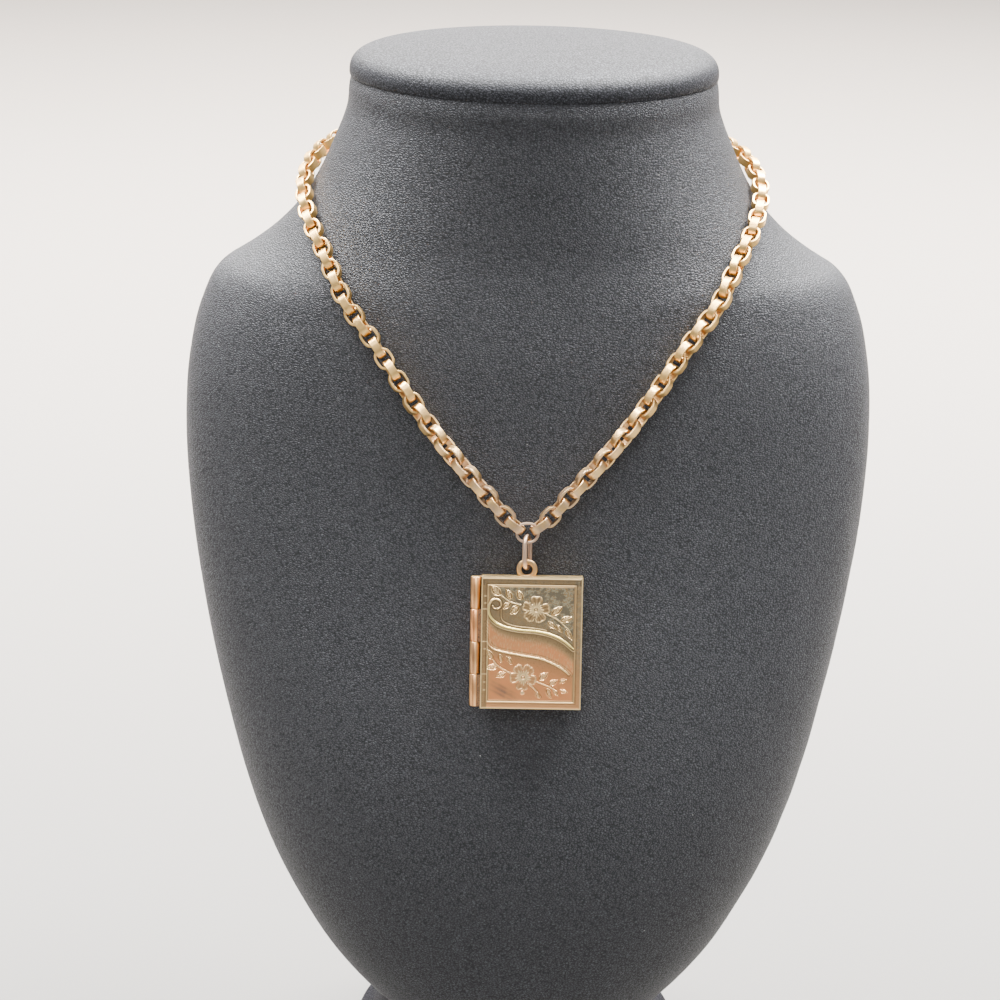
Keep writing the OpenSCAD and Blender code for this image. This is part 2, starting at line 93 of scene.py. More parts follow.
class Number:
    """A number that varies over a surface. Arithmetic on it adds Math nodes."""

    def __init__(self, tree: "ShaderTree", socket: bpy.types.NodeSocket) -> None:
        """Wraps a node's output socket.

        Args:
            tree: The tree that the socket belongs to.
            socket: The output that gives the number.
        """
        self.tree = tree
        self.socket = socket

    def _math(self, operation: str, first: Any, second: Any) -> "Number":
        """Returns the result of one Math node."""
        made = self.tree.node("ShaderNodeMath", {"operation": operation}, {0: first, 1: second})
        return Number(self.tree, made.outputs[0])

    def __add__(self, other: Any) -> "Number":
        """Returns self + other."""
        return self._math("ADD", self, other)

    __radd__ = __add__

    def __mul__(self, other: Any) -> "Number":
        """Returns self * other."""
        return self._math("MULTIPLY", self, other)

    __rmul__ = __mul__

    def __sub__(self, other: Any) -> "Number":
        """Returns self - other."""
        return self._math("SUBTRACT", self, other)

    def __rsub__(self, other: Any) -> "Number":
        """Returns other - self."""
        return self._math("SUBTRACT", other, self)

    def step(self, low: float, high: float) -> "Number":
        """Returns a smooth step.

        Args:
            low: The value at which the step is 0.
            high: The value at which the step is 1.

        Returns:
            The step, from 0 to 1.
        """
        made = self.tree.node(
            "ShaderNodeMapRange",
            {"interpolation_type": "SMOOTHSTEP"},
            {"Value": self, "From Min": low, "From Max": high},
        )
        return Number(self.tree, made.outputs[0])


class ShaderTree:
    """A node tree that starts empty."""

    def __init__(self, tree: bpy.types.NodeTree) -> None:
        """Empties the tree.

        Args:
            tree: The tree of a material or of the sky.
        """
        self.nodes = tree.nodes
        self.links = tree.links
        self.nodes.clear()

    def node(
        self,
        kind: str,
        settings: dict[str, Any] | None = None,
        sockets: dict[Any, Any] | None = None,
    ) -> bpy.types.Node:
        """Adds a node.

        Args:
            kind: The node's type.
            settings: The node's own properties, set first.
            sockets: Values or links of its input sockets, by name or number.

        Returns:
            The new node.
        """
        made = self.nodes.new(kind)
        for key, value in (settings or {}).items():
            setattr(made, key, value)
        for key, value in (sockets or {}).items():
            self.feed(made.inputs[key], value)
        return made

    def feed(self, socket: bpy.types.NodeSocket, value: Any) -> None:
        """Links a socket, or sets its own value.

        Args:
            socket: The input socket.
            value: A Number, an output socket, a colour or a plain value.
        """
        if isinstance(value, Number):
            self.links.new(value.socket, socket)
        elif isinstance(value, bpy.types.NodeSocket):
            self.links.new(value, socket)
        elif isinstance(value, tuple) and len(value) == 3 and socket.type == "RGBA":
            socket.default_value = (*value, 1.0)
        else:
            socket.default_value = value

    def mix(self, first: Any, second: Any, share: Any) -> bpy.types.NodeSocket:
        """Returns a colour between two colours.

        Args:
            first: The colour at share 0.
            second: The colour at share 1.
            share: How much of the second colour shows.

        Returns:
            The mixed colour.
        """
        made = self.node("ShaderNodeMix", {"data_type": "RGBA"})
        self.feed(made.inputs[0], share)
        self.feed(made.inputs[6], first)
        self.feed(made.inputs[7], second)
        return made.outputs[2]

    def axis(self, coordinates: bpy.types.NodeSocket, name: str) -> Number:
        """Returns one axis of some coordinates."""
        parts = self.node("ShaderNodeSeparateXYZ", sockets={0: coordinates})
        return Number(self, parts.outputs[name])


class FinishTree(ShaderTree):
    """The node tree of one finish, ending in one Principled shader."""

    def __init__(self, name: str) -> None:
        """Starts a material.

        Args:
            name: The finish's name.
        """
        self.material = bpy.data.materials.new(name)
        self.material.use_nodes = True
        super().__init__(self.material.node_tree)
        self.shader = self.node("ShaderNodeBsdfPrincipled")
        self.node("ShaderNodeOutputMaterial", sockets={"Surface": self.shader.outputs[0]})
        self.place = self.node("ShaderNodeTexCoord").outputs["Object"]

    def stretched(self, scale: Place) -> bpy.types.NodeSocket:
        """Returns Object coordinates in millimetres, scaled along each axis."""
        factors = tuple(factor / MM for factor in scale)
        sockets = {"Vector": self.place, "Scale": factors}
        return self.node("ShaderNodeMapping", sockets=sockets).outputs[0]

    def noise(
        self,
        size: float,
        detail: float = 3.0,
        scale: Place = (1.0, 1.0, 1.0),
        roughness: float = 0.55,
    ) -> Number:
        """Returns noise from 0 to 1.

        Args:
            size: The size of its patches, in millimetres.
            detail: How many finer layers it has.
            scale: How much it is squeezed along each axis.
            roughness: The strength of the finer layers.

        Returns:
            The noise.
        """
        made = self.node(
            "ShaderNodeTexNoise",
            sockets={
                "Vector": self.stretched(scale),
                "Scale": 1.0 / size,
                "Detail": detail,
                "Roughness": roughness,
            },
        )
        return Number(self, made.outputs[0])

    def cells(self, size: float, feature: str, scale: Place = (1.0, 1.0, 1.0)) -> Number:
        """Returns the distances of a cell pattern.

        Args:
            size: The size of a cell, in millimetres.
            feature: The pattern's feature, such as DISTANCE_TO_EDGE.
            scale: How much it is squeezed along each axis.

        Returns:
            The distance, in cells.
        """
        made = self.node(
            "ShaderNodeTexVoronoi",
            {"feature": feature},
            {"Vector": self.stretched(scale), "Scale": 1.0 / size},
        )
        return Number(self, made.outputs["Distance"])

    def attribute(self, name: str) -> Number:
        """Returns a number painted on the mesh."""
        made = self.node("ShaderNodeAttribute", {"attribute_name": name})
        return Number(self, made.outputs["Fac"])

    def bump(self, height: Number, distance: float, strength: float = 1.0) -> None:
        """Gives the shader a bump.

        Args:
            height: The height, from 0 to 1.
            distance: The depth that it stands for.
            strength: How much of it shows.
        """
        made = self.node(
            "ShaderNodeBump",
            sockets={"Height": height, "Distance": distance, "Strength": strength},
        )
        self.feed(self.shader.inputs["Normal"], made.outputs[0])

    def surface(self, **sockets: Any) -> bpy.types.Material:
        """Sets the shader's sockets and returns the material.

        Args:
            sockets: Values by socket name, with _ for a space.

        Returns:
            The finished material.
        """
        for name, value in sockets.items():
            self.feed(self.shader.inputs[name.replace("_", " ")], value)
        return self.material


# Finishes


@dataclass(frozen=True)
class Leatherette:
    """Charcoal leatherette: wrinkled pebbles, painted shade in their pits, painted glints on their
    tops, a soft gloss and a little dust.
    """

    name: str
    colour: Colour = (0.019, 0.0197, 0.0235)
    pit_shade: Colour = (0.003, 0.003, 0.004)
    worn: Colour = (0.052, 0.053, 0.061)
    dust: Colour = (0.50, 0.48, 0.46)
    cell: float = 0.60
    grain_depth: float = 0.15 * MM
    gloss: float = 0.38

    def material(self) -> bpy.types.Material:
        """Returns the material."""
        tree = FinishTree(self.name)
        warp = tree.noise(1.6, 2.0)
        pebble = tree.cells(self.cell, "DISTANCE_TO_EDGE", (0.85, 0.85, 1.15)).step(0.0, 0.30)
        wrinkle = tree.noise(self.cell * 0.75, 3.0, (0.8, 0.8, 1.3), 0.62)
        grain = pebble * 0.55 + wrinkle * 0.75
        tree.bump(grain + tree.noise(30.0, 2.0) * 0.5, self.grain_depth, 1.0)
        speck = 1 - tree.cells(6.0, "F1").step(0.012, 0.03)
        speck = speck * tree.noise(9.0, 1.0).step(0.52, 0.6)
        # Painted glints: the tops of the wrinkles are a lighter grey. Painted shade: the grain's
        # pits are near black.
        top = tree.mix(self.colour, self.worn, (wrinkle * 0.85 + warp * 0.15).step(0.50, 0.66))
        base = tree.mix(self.pit_shade, top, grain.step(0.35, 0.78))
        return tree.surface(
            Base_Color=tree.mix(base, self.dust, speck * 0.7),
            Roughness=0.66 - grain.step(0.4, 0.9) * 0.14,
            Specular_IOR_Level=self.gloss,
        )


@dataclass(frozen=True)
class FilledGold:
    """Gold-filled metal: a bright skin, copper where it wears through, and a dark brown for dirt
    and painted shade.
    """

    name: str
    skin: Colour = (0.84, 0.53, 0.185)
    inner: Colour = (0.62, 0.31, 0.11)
    worn: Colour = (0.52, 0.36, 0.25)
    dirt_and_shade: Colour = (0.07, 0.045, 0.03)
    roughness: float = 0.32
    dent: float = 0.018 * MM

    def material(self) -> bpy.types.Material:
        """Returns the material. It reads the painted numbers for the inner faces, for wear, and for
        painted shade and grime.
        """
        tree = FinishTree(self.name)
        patch = tree.noise(2.2, 3.0)
        base = tree.mix(self.skin, self.inner, tree.attribute("inside") * 0.75)
        # Wear only here: the grey of worn links, with no painted glint.
        base = tree.mix(base, self.worn, tree.attribute("worn") * patch.step(0.2, 0.7))
        base = tree.mix(base, self.inner, tree.noise(0.9, 3.0).step(0.56, 0.8) * 0.30)
        # Painted shade and grime in dark brown, where that number is painted.
        base = tree.mix(base, self.dirt_and_shade, tree.attribute("grime"))
        tree.bump(tree.noise(0.7, 2.0) + tree.noise(0.12, 2.0) * 0.15, self.dent, 0.8)
        return tree.surface(
            Base_Color=base,
            Metallic=1.0,
            Roughness=self.roughness + patch.step(0.35, 0.75) * 0.14,
        )


@dataclass(frozen=True)
class CoverGold:
    """The pressed cover: champagne gold gone rose, olive and grey, with painted highlights on its
    raised lines and painted shade beside them.
    """

    name: str
    skin: Colour = (0.68, 0.42, 0.185)
    rose: Colour = (0.96, 0.375, 0.14)
    olive: Colour = (0.29, 0.195, 0.098)
    green: Colour = (0.50, 0.47, 0.31)
    moss: Colour = (0.175, 0.150, 0.105)
    bright: Colour = (1.0, 0.73, 0.35)
    yellow: Colour = (1.0, 0.82, 0.22)
    dirt_and_shade: Colour = (0.085, 0.050, 0.026)
    smudge: Colour = (0.24, 0.17, 0.13)
    roughness: float = 0.30
    dent: float = 0.012 * MM

    def material(self) -> bpy.types.Material:
        """Returns the material. It reads the painted numbers of the cover's relief."""
        tree = FinishTree(self.name)
        patch = tree.noise(3.5, 4.0)
        speckle = tree.noise(0.38, 3.0, roughness=0.65)
        base = tree.mix(self.skin, self.rose, tree.attribute("rose") * (0.6 + patch * 0.6))
        # Olive is tarnish on the upper ground and the bands, and painted shade in the ribbon under
        # its upper edge, low in the field and on the walls.
        base = tree.mix(base, self.olive, tree.attribute("olive") * (0.72 + patch * 0.45))
        blotch = tree.noise(1.5, 4.0, roughness=0.62)
        mottled = tree.attribute("speckle")
        base = tree.mix(base, self.green, mottled * speckle.step(0.44, 0.58) * 0.9)
        base = tree.mix(base, self.moss, mottled * blotch.step(0.46, 0.57) * 0.85)
        # Speckled dirt on the olive ground.
        stained = tree.attribute("olive") * speckle.step(0.50, 0.72)
        base = tree.mix(base, self.dirt_and_shade, stained * 0.50)
        base = tree.mix(base, self.smudge, tree.attribute("smudge") * patch.step(0.25, 0.6))
        # Painted shade in dark brown beside raised lines, round motifs, on walls, webs and barrel
        # lines, with some grime.
        base = tree.mix(base, self.dirt_and_shade, tree.attribute("grime") * (0.55 + speckle * 0.7))
        # Painted highlights in pale gold on the crests of ribs, lines, edges and knuckle ends.
        base = tree.mix(base, self.bright, tree.attribute("ridge") * (0.7 + patch * 0.5))
        # Painted highlight: the crest of the ribbon's upper edge glows yellow.
        base = tree.mix(base, self.yellow, tree.attribute("glow"))
        streak = tree.noise(0.24, 2.0, (1.0, 1.0, 0.07))
        strokes = streak * tree.attribute("strokes")
        # Painted highlights as pale streaks along the ribbon's strokes.
        pale = strokes.step(0.50, 0.66) * (1 - tree.attribute("olive"))
        base = tree.mix(base, self.bright, pale * 0.42)
        tree.bump(strokes * 1.6 + tree.noise(0.6, 2.0) + speckle * 0.6, self.dent, 0.9)
        return tree.surface(
            Base_Color=base,
            # Where the painted shade is deepest, the metal turns to a dark non-metal.
            Metallic=1 - tree.attribute("grime").step(0.70, 1.0) * 0.9,
            Roughness=self.roughness + tree.attribute("olive") * 0.10 + patch * 0.08,
        )


@dataclass(frozen=True)
class FloorPaint:
    """Matt paint, darker in front as painted shade and paler behind, which changes between two
    depths.
    """

    name: str
    near: Colour = (0.118, 0.117, 0.112)
    far: Colour = (0.39, 0.345, 0.305)
    near_y: float = -0.3
    far_y: float = 1.1
    roughness: float = 0.85

    def material(self) -> bpy.types.Material:
        """Returns the material."""
        tree = FinishTree(self.name)
        # Painted shade: the floor is darker towards the camera.
        away = tree.axis(tree.place, "Y").step(self.near_y, self.far_y)
        colour = tree.mix(self.near, self.far, away)
        return tree.surface(Base_Color=colour, Roughness=self.roughness)


# Building pieces

# The numbers that each finish reads from its piece's mesh
GOLD_NUMBERS = ("inside", "worn", "grime")
COVER_NUMBERS = ("rose", "olive", "speckle", "smudge", "grime", "ridge", "glow", "strokes")

# How many points round each corner of a ring's section
CORNER_POINTS = 3


def only(kind: type, made: Sequence[Any]) -> list[Any]:
    """Returns the elements of one kind, such as vertices, of what an operator made."""
    return [element for element in made if isinstance(element, kind)]


def show(name: str, data: bpy.types.ID) -> bpy.types.Object:
    """Adds an object to the scene.

    Args:
        name: Its name.
        data: Its mesh, light or camera.

    Returns:
        The object.
    """
    made = bpy.data.objects.new(name, data)
    bpy.context.scene.collection.objects.link(made)
    return made


def dress_solid(node: bpy.types.Object, finish: bpy.types.Material) -> None:
    """Gives a solid of the frame its finish.

    Args:
        node: The solid.
        finish: Its material.
    """
    node.data.materials.clear()
    node.data.materials.append(finish)
    LOG.info("%s: the solid itself, in %s", node.name, finish.name)


class Form:
    """A mesh being built, which becomes one piece of the model."""

    def __init__(self, painted: Sequence[str] = ()) -> None:
        """Starts an empty mesh.

        Args:
            painted: The names of the numbers that its finish reads at each vertex.
        """
        self.bm = bmesh.new()
        for name in painted:
            self.bm.verts.layers.float.new(name)

    def paint(self, name: str, verts: Sequence[BMVert], value: float) -> None:
        """Writes one number on some vertices.

        Args:
            name: The number's name.
            verts: The vertices.
            value: The number.
        """
        layer = self.bm.verts.layers.float[name]
        for vert in verts:
            vert[layer] = value

    def closed(self) -> None:
        """Merges doubles and turns the faces outwards."""
        bmesh.ops.remove_doubles(self.bm, verts=self.bm.verts, dist=MERGE)
        bmesh.ops.recalc_face_normals(self.bm, faces=self.bm.faces)

    def open_edges(self) -> list[BMEdge]:
        """Returns the edges round the form's openings."""
        return [edge for edge in self.bm.edges if edge.is_boundary]

    def add(self, other: "Form", place: Matrix | None = None) -> list[BMVert]:
        """Adds a copy of another form.

        Args:
            other: The form to copy.
            place: Where the copy goes.

        Returns:
            The copy's vertices.
        """
        held = bpy.data.meshes.new("held")
        other.bm.to_mesh(held)
        start = len(self.bm.verts)
        self.bm.from_mesh(held)
        bpy.data.meshes.remove(held)
        self.bm.verts.ensure_lookup_table()
        verts = self.bm.verts[start:]
        if place is not None:
            bmesh.ops.transform(self.bm, matrix=place, verts=verts)
        return verts

    def piece(
        self, name: str, body: str, slot: str, finish: bpy.types.Material
    ) -> bpy.types.Object:
        """Makes the finished object.

        Args:
            name: The piece's name.
            body: The body that it rides on.
            slot: The record's material slot. It is not used.
            finish: Its material.

        Returns:
            The object, whose place is in its mesh.
        """
        mesh = bpy.data.meshes.new(name)
        self.bm.to_mesh(mesh)
        self.bm.free()
        mesh.materials.append(finish)
        mesh.shade_smooth()
        made = show(name, mesh)
        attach(made, body)
        LOG.info("%s: %d faces on %s", name, len(mesh.polygons), body)
        return made


def refine(made: bpy.types.Object, levels: int) -> None:
    """Adds a Subdivision Surface modifier with equal levels."""
    smooth = made.modifiers.new("smooth", "SUBSURF")
    smooth.levels = levels
    smooth.render_levels = levels


def sharpen(made: bpy.types.Object, angle_deg: float) -> None:
    """Shades edges that turn by more than an angle as sharp."""
    made.data.set_sharp_from_angle(angle=math.radians(angle_deg))


def loose_places(node: bpy.types.Object) -> list[Matrix]:
    """Finds where each loose link or ring of a node lies.

    Args:
        node: A node of loose links or rings.

    Returns:
        A matrix for each, with X along its length and Z across its band.
    """
    merged = bmesh.new()
    merged.from_mesh(node.data)
    bmesh.ops.remove_doubles(merged, verts=merged.verts, dist=MERGE)
    merged.verts.ensure_lookup_table()
    seen: set[int] = set()
    places = []
    for start in merged.verts:
        if start.index in seen:
            continue
        seen.add(start.index)
        queue = [start]
        for vert in queue:
            for edge in vert.link_edges:
                other = edge.other_vert(vert)
                if other.index not in seen:
                    seen.add(other.index)
                    queue.append(other)
        points = np.array([vert.co for vert in queue])
        middle = points.mean(0)
        spread = points - middle
        _, axes = np.linalg.eigh(spread.T @ spread)
        along, across = Vector(axes[:, 2]), Vector(axes[:, 0])
        turn = Matrix((along, across.cross(along), across)).transposed().to_4x4()
        places.append(Matrix.Translation(Vector(middle)) @ turn)
    merged.free()
    return places


@dataclass(frozen=True)
class OvalRing:
    """A ring of even section round a long oval with round ends, lying in the XY plane.

    The section is a rectangle with rounded corners. A round wire is a square one that is
    rounded all over.
    """

    length: float
    width: float
    band: float
    thickness: float
    corner: float
    steps: int = 10

    def _section(self, form: Form) -> None:
        """Draws the section on the ring's right side and marks its inner face.

        The points of a circle are moved to the corners, an equal number to each.

        Args:
            form: The empty form that takes it.
        """
        circle = bmesh.ops.create_circle(
            form.bm, segments=4 * CORNER_POINTS, radius=1.0, cap_ends=False
        )
        middle_x = (self.width - self.thickness) / 2
        half_t = self.thickness / 2 - self.corner
        half_b = self.band / 2 - self.corner
        right_angle = math.pi / 2
        half_step = right_angle / CORNER_POINTS / 2
        for vert in circle["verts"]:
            angle = math.atan2(vert.co.y, vert.co.x)
            quarter = math.floor((angle + half_step) / right_angle)
            turn = (angle - quarter * right_angle) * CORNER_POINTS / (CORNER_POINTS - 1)
            facing = quarter * right_angle + turn
            middle = (quarter + 0.5) * right_angle
            across = math.copysign(half_t, math.cos(middle)) + self.corner * math.cos(facing)
            along = math.copysign(half_b, math.sin(middle)) + self.corner * math.sin(facing)
            vert.co = (middle_x + across, 0.0, along)
            form.paint("inside", [vert], 1.0 if math.cos(facing) < -0.9 else 0.0)

    def build(self) -> Form:
        """Returns the ring, with its length along X.

        The section turns round one end, goes straight to the other end, and so on back.
        """
        form = Form(GOLD_NUMBERS)
        self._section(form)
        run = (self.length - self.width) / 2
        turned: list[Any] = list(form.bm.verts) + list(form.bm.edges)
        bmesh.ops.translate(form.bm, verts=form.bm.verts, vec=(0.0, run, 0.0))
        for end in (1, -1):
            spun = bmesh.ops.spin(
                form.bm,
                geom=turned,
                cent=(0.0, end * run, 0.0),
                axis=(0.0, 0.0, 1.0),
                angle=math.pi,
                steps=self.steps,
            )
            last = only(BMEdge, spun["geom_last"])
            straight = bmesh.ops.extrude_edge_only(form.bm, edges=last)["geom"]
            away = (0.0, -2 * end * run, 0.0)
            bmesh.ops.translate(form.bm, verts=only(BMVert, straight), vec=away)
            turned = [made for made in straight if not isinstance(made, BMFace)]
        quarter_turn = Matrix.Rotation(math.pi / 2, 3, "Z")
        bmesh.ops.rotate(form.bm, verts=form.bm.verts, cent=(0, 0, 0), matrix=quarter_turn)
        form.closed()
        return form


# Bust


@dataclass
class NeckBust:
    """The covered bust: body, padded neck cap and foot.

    Each step of the cap's edge is how far it lies inside the widest outline, and its height
    over the cap's seat, in millimetres. Each step of its crown is a share of the last outline
    of the edge, and a height. The swell is how far a corner is moved out before it is smoothed,
    as a share of the way to its neighbours, and a flat end gets rings that lie inside each
    other by a share of its reach.
    """

    body: str = "stand"
    slot: str = "leatherette"
    levels: int = 2
    swell: float = 0.6
    end_rings: int = 2
    end_inset: float = 0.3
    cap_points: int = 64
    cap_edge: tuple[Point, ...] = (
        (6.0, 0.0), (1.1, 0.0), (0.66, -0.5), (0.42, -1.7), (0.16, -1.85), (0.0, -1.5),
        (0.0, -0.2), (0.3, 1.15), (1.1, 2.5), (2.6, 3.7), (5.3, 4.75), (9.7, 5.65),
    )
    cap_crown: tuple[Point, ...] = ((0.75, 6.4), (0.45, 7.0), (0.15, 7.3))

    def _copy(self, node: bpy.types.Object) -> Form:
        """Copies a node with its triangles joined in pairs.

        Args:
            node: A node of the frame.

        Returns:
            The merged copy, ready to be smoothed.
        """
        form = Form()
        form.bm.from_mesh(node.data)
        bmesh.ops.remove_doubles(form.bm, verts=form.bm.verts, dist=MERGE)
        self._flat_end(form, 1)
        self._flat_end(form, -1)
        bmesh.ops.join_triangles(
            form.bm,
            faces=[face for face in form.bm.faces if len(face.verts) == 3],
            angle_face_threshold=math.pi,
            angle_shape_threshold=math.pi,
        )
        bmesh.ops.recalc_face_normals(form.bm, faces=form.bm.faces)
        self._hold_size(form)
        return form

    def _hold_size(self, form: Form) -> None:
        """Moves each vertex out by as much as the smoothing will draw it in.

        Args:
            form: The copy of the node.
        """
        drawn = {}
        for vert in form.bm.verts:
            around = [edge.other_vert(vert).co for edge in vert.link_edges]
            middle = sum(around, Vector()) / len(around)
            drawn[vert] = (middle - vert.co) * self.swell
        for vert, step in drawn.items():
            vert.co = vert.co - step

    def _flat_end(self, form: Form, side: int) -> None:
        """Makes a flat end one face with rings inside it, for an even surface.

        Args:
            form: The copy of the node.
            side: 1 for its top, -1 for its bottom.
        """
        limit = side * max(side * vert.co.z for vert in form.bm.verts)
        flat = [
            face for face in form.bm.faces
            if all(abs(vert.co.z - limit) < MERGE for vert in face.verts)
        ]
        if len(flat) < 2:
            return
        whole = bmesh.ops.dissolve_faces(form.bm, faces=flat)["region"]
        for _ in range(self.end_rings):
            middle = whole[0].calc_center_median()
            reach = max((vert.co - middle).length for vert in whole[0].verts)
            bmesh.ops.inset_region(form.bm, faces=whole, thickness=reach * self.end_inset)

    def _cap(self) -> Form:
        """Builds the cap in its node's box: an oval drawn round its lip and up its crown.

        Returns:
            The closed cap.
        """
        low, high = (Vector(corner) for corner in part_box("neck_cap"))
        middle = (low + high) / 2
        half = (high - low) / 2
        rings = [(half.x - inset * MM, half.y - inset * MM, z * MM) for inset, z in self.cap_edge]
        last_x, last_y, _ = rings[-1]
        rings += [(last_x * share, last_y * share, z * MM) for share, z in self.cap_crown]
        form = Form()
        bmesh.ops.create_circle(form.bm, segments=self.cap_points, radius=1.0)
        verts: list[Any] = list(form.bm.verts)
        edges = list(form.bm.edges)
        before = (1.0, 1.0, 0.0)
        for number, ring in enumerate(rings):
            if number > 0:
                made = bmesh.ops.extrude_edge_only(form.bm, edges=edges)["geom"]
                verts = only(BMVert, made)
                edges = [edge for edge in only(BMEdge, made) if edge.is_boundary]
            growth = (ring[0] / before[0], ring[1] / before[1], 1.0)
            bmesh.ops.scale(form.bm, vec=growth, verts=verts)
            bmesh.ops.translate(form.bm, vec=(0.0, 0.0, ring[2] - before[2]), verts=verts)
            before = ring
        bmesh.ops.edgeloop_fill(form.bm, edges=form.open_edges())
        seat = (middle.x, middle.y, low.z)
        bmesh.ops.translate(form.bm, vec=seat, verts=form.bm.verts)
        form.closed()
        return form

    def build(self, nodes: Nodes) -> None:
        """Builds the body's and the cap's pieces and dresses the foot.

        Args:
            nodes: The frame's nodes by name.
        """
        body_skin = Leatherette("leatherette_body")
        cap_skin = Leatherette("leatherette_cap", grain_depth=0.07 * MM, gloss=0.22)
        # The foot's pebble tops get a darker painted glint.
        foot_skin = Leatherette(
            "leatherette_foot", (0.007, 0.0068, 0.0085), worn=(0.019, 0.018, 0.023), gloss=0.06
        )
        for form, skin, name, node in (
            (self._copy(nodes["bust_body"]), body_skin, "bust_body_skin", "bust_body"),
            (self._cap(), cap_skin, "neck_cap_skin", "neck_cap"),
        ):
            made = form.piece(name, self.body, self.slot, skin.material())
            refine(made, self.levels)
            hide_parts(node)
        dress_solid(nodes["bust_foot"], foot_skin.material())


# Chain


@dataclass
class BelcherChain:
    """The two runs of flat-banded links, the clasp ring and the centre link."""

    body: str = "stand"
    link: OvalRing = OvalRing(
        length=5.4 * MM, width=4.2 * MM, band=1.9 * MM, thickness=0.58 * MM, corner=0.13 * MM
    )
    centre: OvalRing = OvalRing(
        length=5.7 * MM, width=5.0 * MM, band=1.4 * MM, thickness=0.58 * MM, corner=0.17 * MM
    )
    clasp: OvalRing = OvalRing(
        length=7.0 * MM, width=7.0 * MM, band=1.2 * MM, thickness=1.2 * MM,
        corner=0.6 * MM, steps=16,
    )
    worn_top: float = 205 * MM
    worn_bottom: float = 176 * MM
    crisp_deg: float = 20.0

    def _worn(self, height: float) -> float:
        """Returns how worn a link is at a height: the lowest ones are grey."""
        share = (self.worn_top - height) / (self.worn_top - self.worn_bottom)
        return min(max(share, 0.0), 1.0)

    def _lay(
        self,
        node: bpy.types.Object,
        ring: OvalRing,
        ending: str,
        slot: str,
        finish: bpy.types.Material,
    ) -> None:
        """Builds rings in the places of a node's own.

        Args:
            node: The node of loose links or rings.
            ring: The ring that takes each place.
            ending: What the piece's name adds to the node's.
            slot: The record's material slot.
            finish: Its material.
        """
        form = Form(GOLD_NUMBERS)
        single = ring.build()
        for place in loose_places(node):
            verts = form.add(single, place)
            form.paint("worn", verts, self._worn(place.translation.z))
        single.bm.free()
        made = form.piece(f"{node.name}_{ending}", self.body, slot, finish)
        if ring.corner < ring.thickness / 2:
            sharpen(made, self.crisp_deg)
        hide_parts(node.name)

    def build(self, nodes: Nodes) -> None:
        """Builds the chain's pieces.

        Args:
            nodes: The frame's nodes by name.
        """
        gold = FilledGold("chain_gold").material()
        for side in Side:
            self._lay(nodes[f"chain_{side.value}"], self.link, "links", "pale_gold", gold)
        self._lay(nodes["clasp_ring"], self.clasp, "ring", "pale_gold", gold)
        grey = FilledGold("centre_link_gold", skin=(0.60, 0.42, 0.30), roughness=0.35).material()
        self._lay(nodes["centre_link"], self.centre, "ring", "worn_gold", grey)


# Locket


@dataclass(frozen=True)
class HingePlace:
    """Where the cover's hinge lies, from which the whole locket is built.

    In its frame X runs right across the cover, Y back from the line where the halves part,
    and Z up along the hinge, all from the middle of the hinge pin.
    """

    matrix: Matrix

    @classmethod
    def of(cls, joints: Sequence[dict[str, Any]]) -> "HingePlace":
        """Reads the hinge from the frame.

        Args:
            joints: The frame's joints.

        Returns:
            The hinge's place.
        """
        hinge = next(joint for joint in joints if joint["name"] == "cover_hinge")
        up = -Vector(hinge["axis"]).normalized()
        right = Vector((1.0, 0.0, 0.0))
        turn = Matrix((right, up.cross(right), up)).transposed().to_4x4()
        return cls(Matrix.Translation(Vector(hinge["pos_m"])) @ turn)


def ramp(values: Values, low: float | Values, high: float | Values) -> Values:
    """Returns a smooth step from 0 at low to 1 at high."""
    share = np.clip((values - low) / (high - low), 0.0, 1.0)
    return share * share * (3 - 2 * share)


def bell(values: Values, width: float) -> Values:
    """Returns a bell curve that is 1 where the values are 0."""
    return np.exp(-((values / width) ** 2))


class Line:
    """A smooth line on the cover, through a few points in millimetres."""

    def __init__(self, points: Sequence[Point], steps: int = 6) -> None:
        """Smooths the line.

        Args:
            points: The points that it passes through.
            steps: How many pieces each stretch has.
        """
        given = np.array(points, float)
        padded = np.vstack([2 * given[0] - given[1], given, 2 * given[-1] - given[-2]])
        drawn = []
        for a, b, c, d in zip(padded, padded[1:], padded[2:], padded[3:]):
            for t in np.arange(steps) / steps:
                drawn.append(
                    0.5 * (2 * b + (c - a) * t + (2 * a - 5 * b + 4 * c - d) * t**2
                           + (3 * b - a - 3 * c + d) * t**3)
                )
        self.points = np.vstack([*drawn, given[-1]])

    def read(self, u: Values, v: Values) -> tuple[Values, Values]:
        """Measures how places lie to the line.

        Args:
            u: Their places to the right.
            v: Their places upwards.

        Returns:
            The distance to the line, positive on its left side, and the share of its length
            at the nearest point.
        """
        best = np.full(u.shape, 1e9)
        share = np.zeros(u.shape)
        pieces = len(self.points) - 1
        for i, (a, b) in enumerate(zip(self.points, self.points[1:])):
            step = b - a
            right, up = u - a[0], v - a[1]
            t = np.clip((right * step[0] + up * step[1]) / (step @ step), 0.0, 1.0)
            away = np.hypot(right - t * step[0], up - t * step[1])
            side = np.where(step[0] * up - step[1] * right < 0.0, -1.0, 1.0)
            nearer = away < np.abs(best)
            best[nearer] = (away * side)[nearer]
            share[nearer] = ((i + t) / pieces)[nearer]
        return best, share

    def height_at(self, u: Values) -> Values:
        """Returns the line's v at places across, for a line that runs left to right."""
        order = np.argsort(self.points[:, 0])
        return np.interp(u, self.points[order, 0], self.points[order, 1])


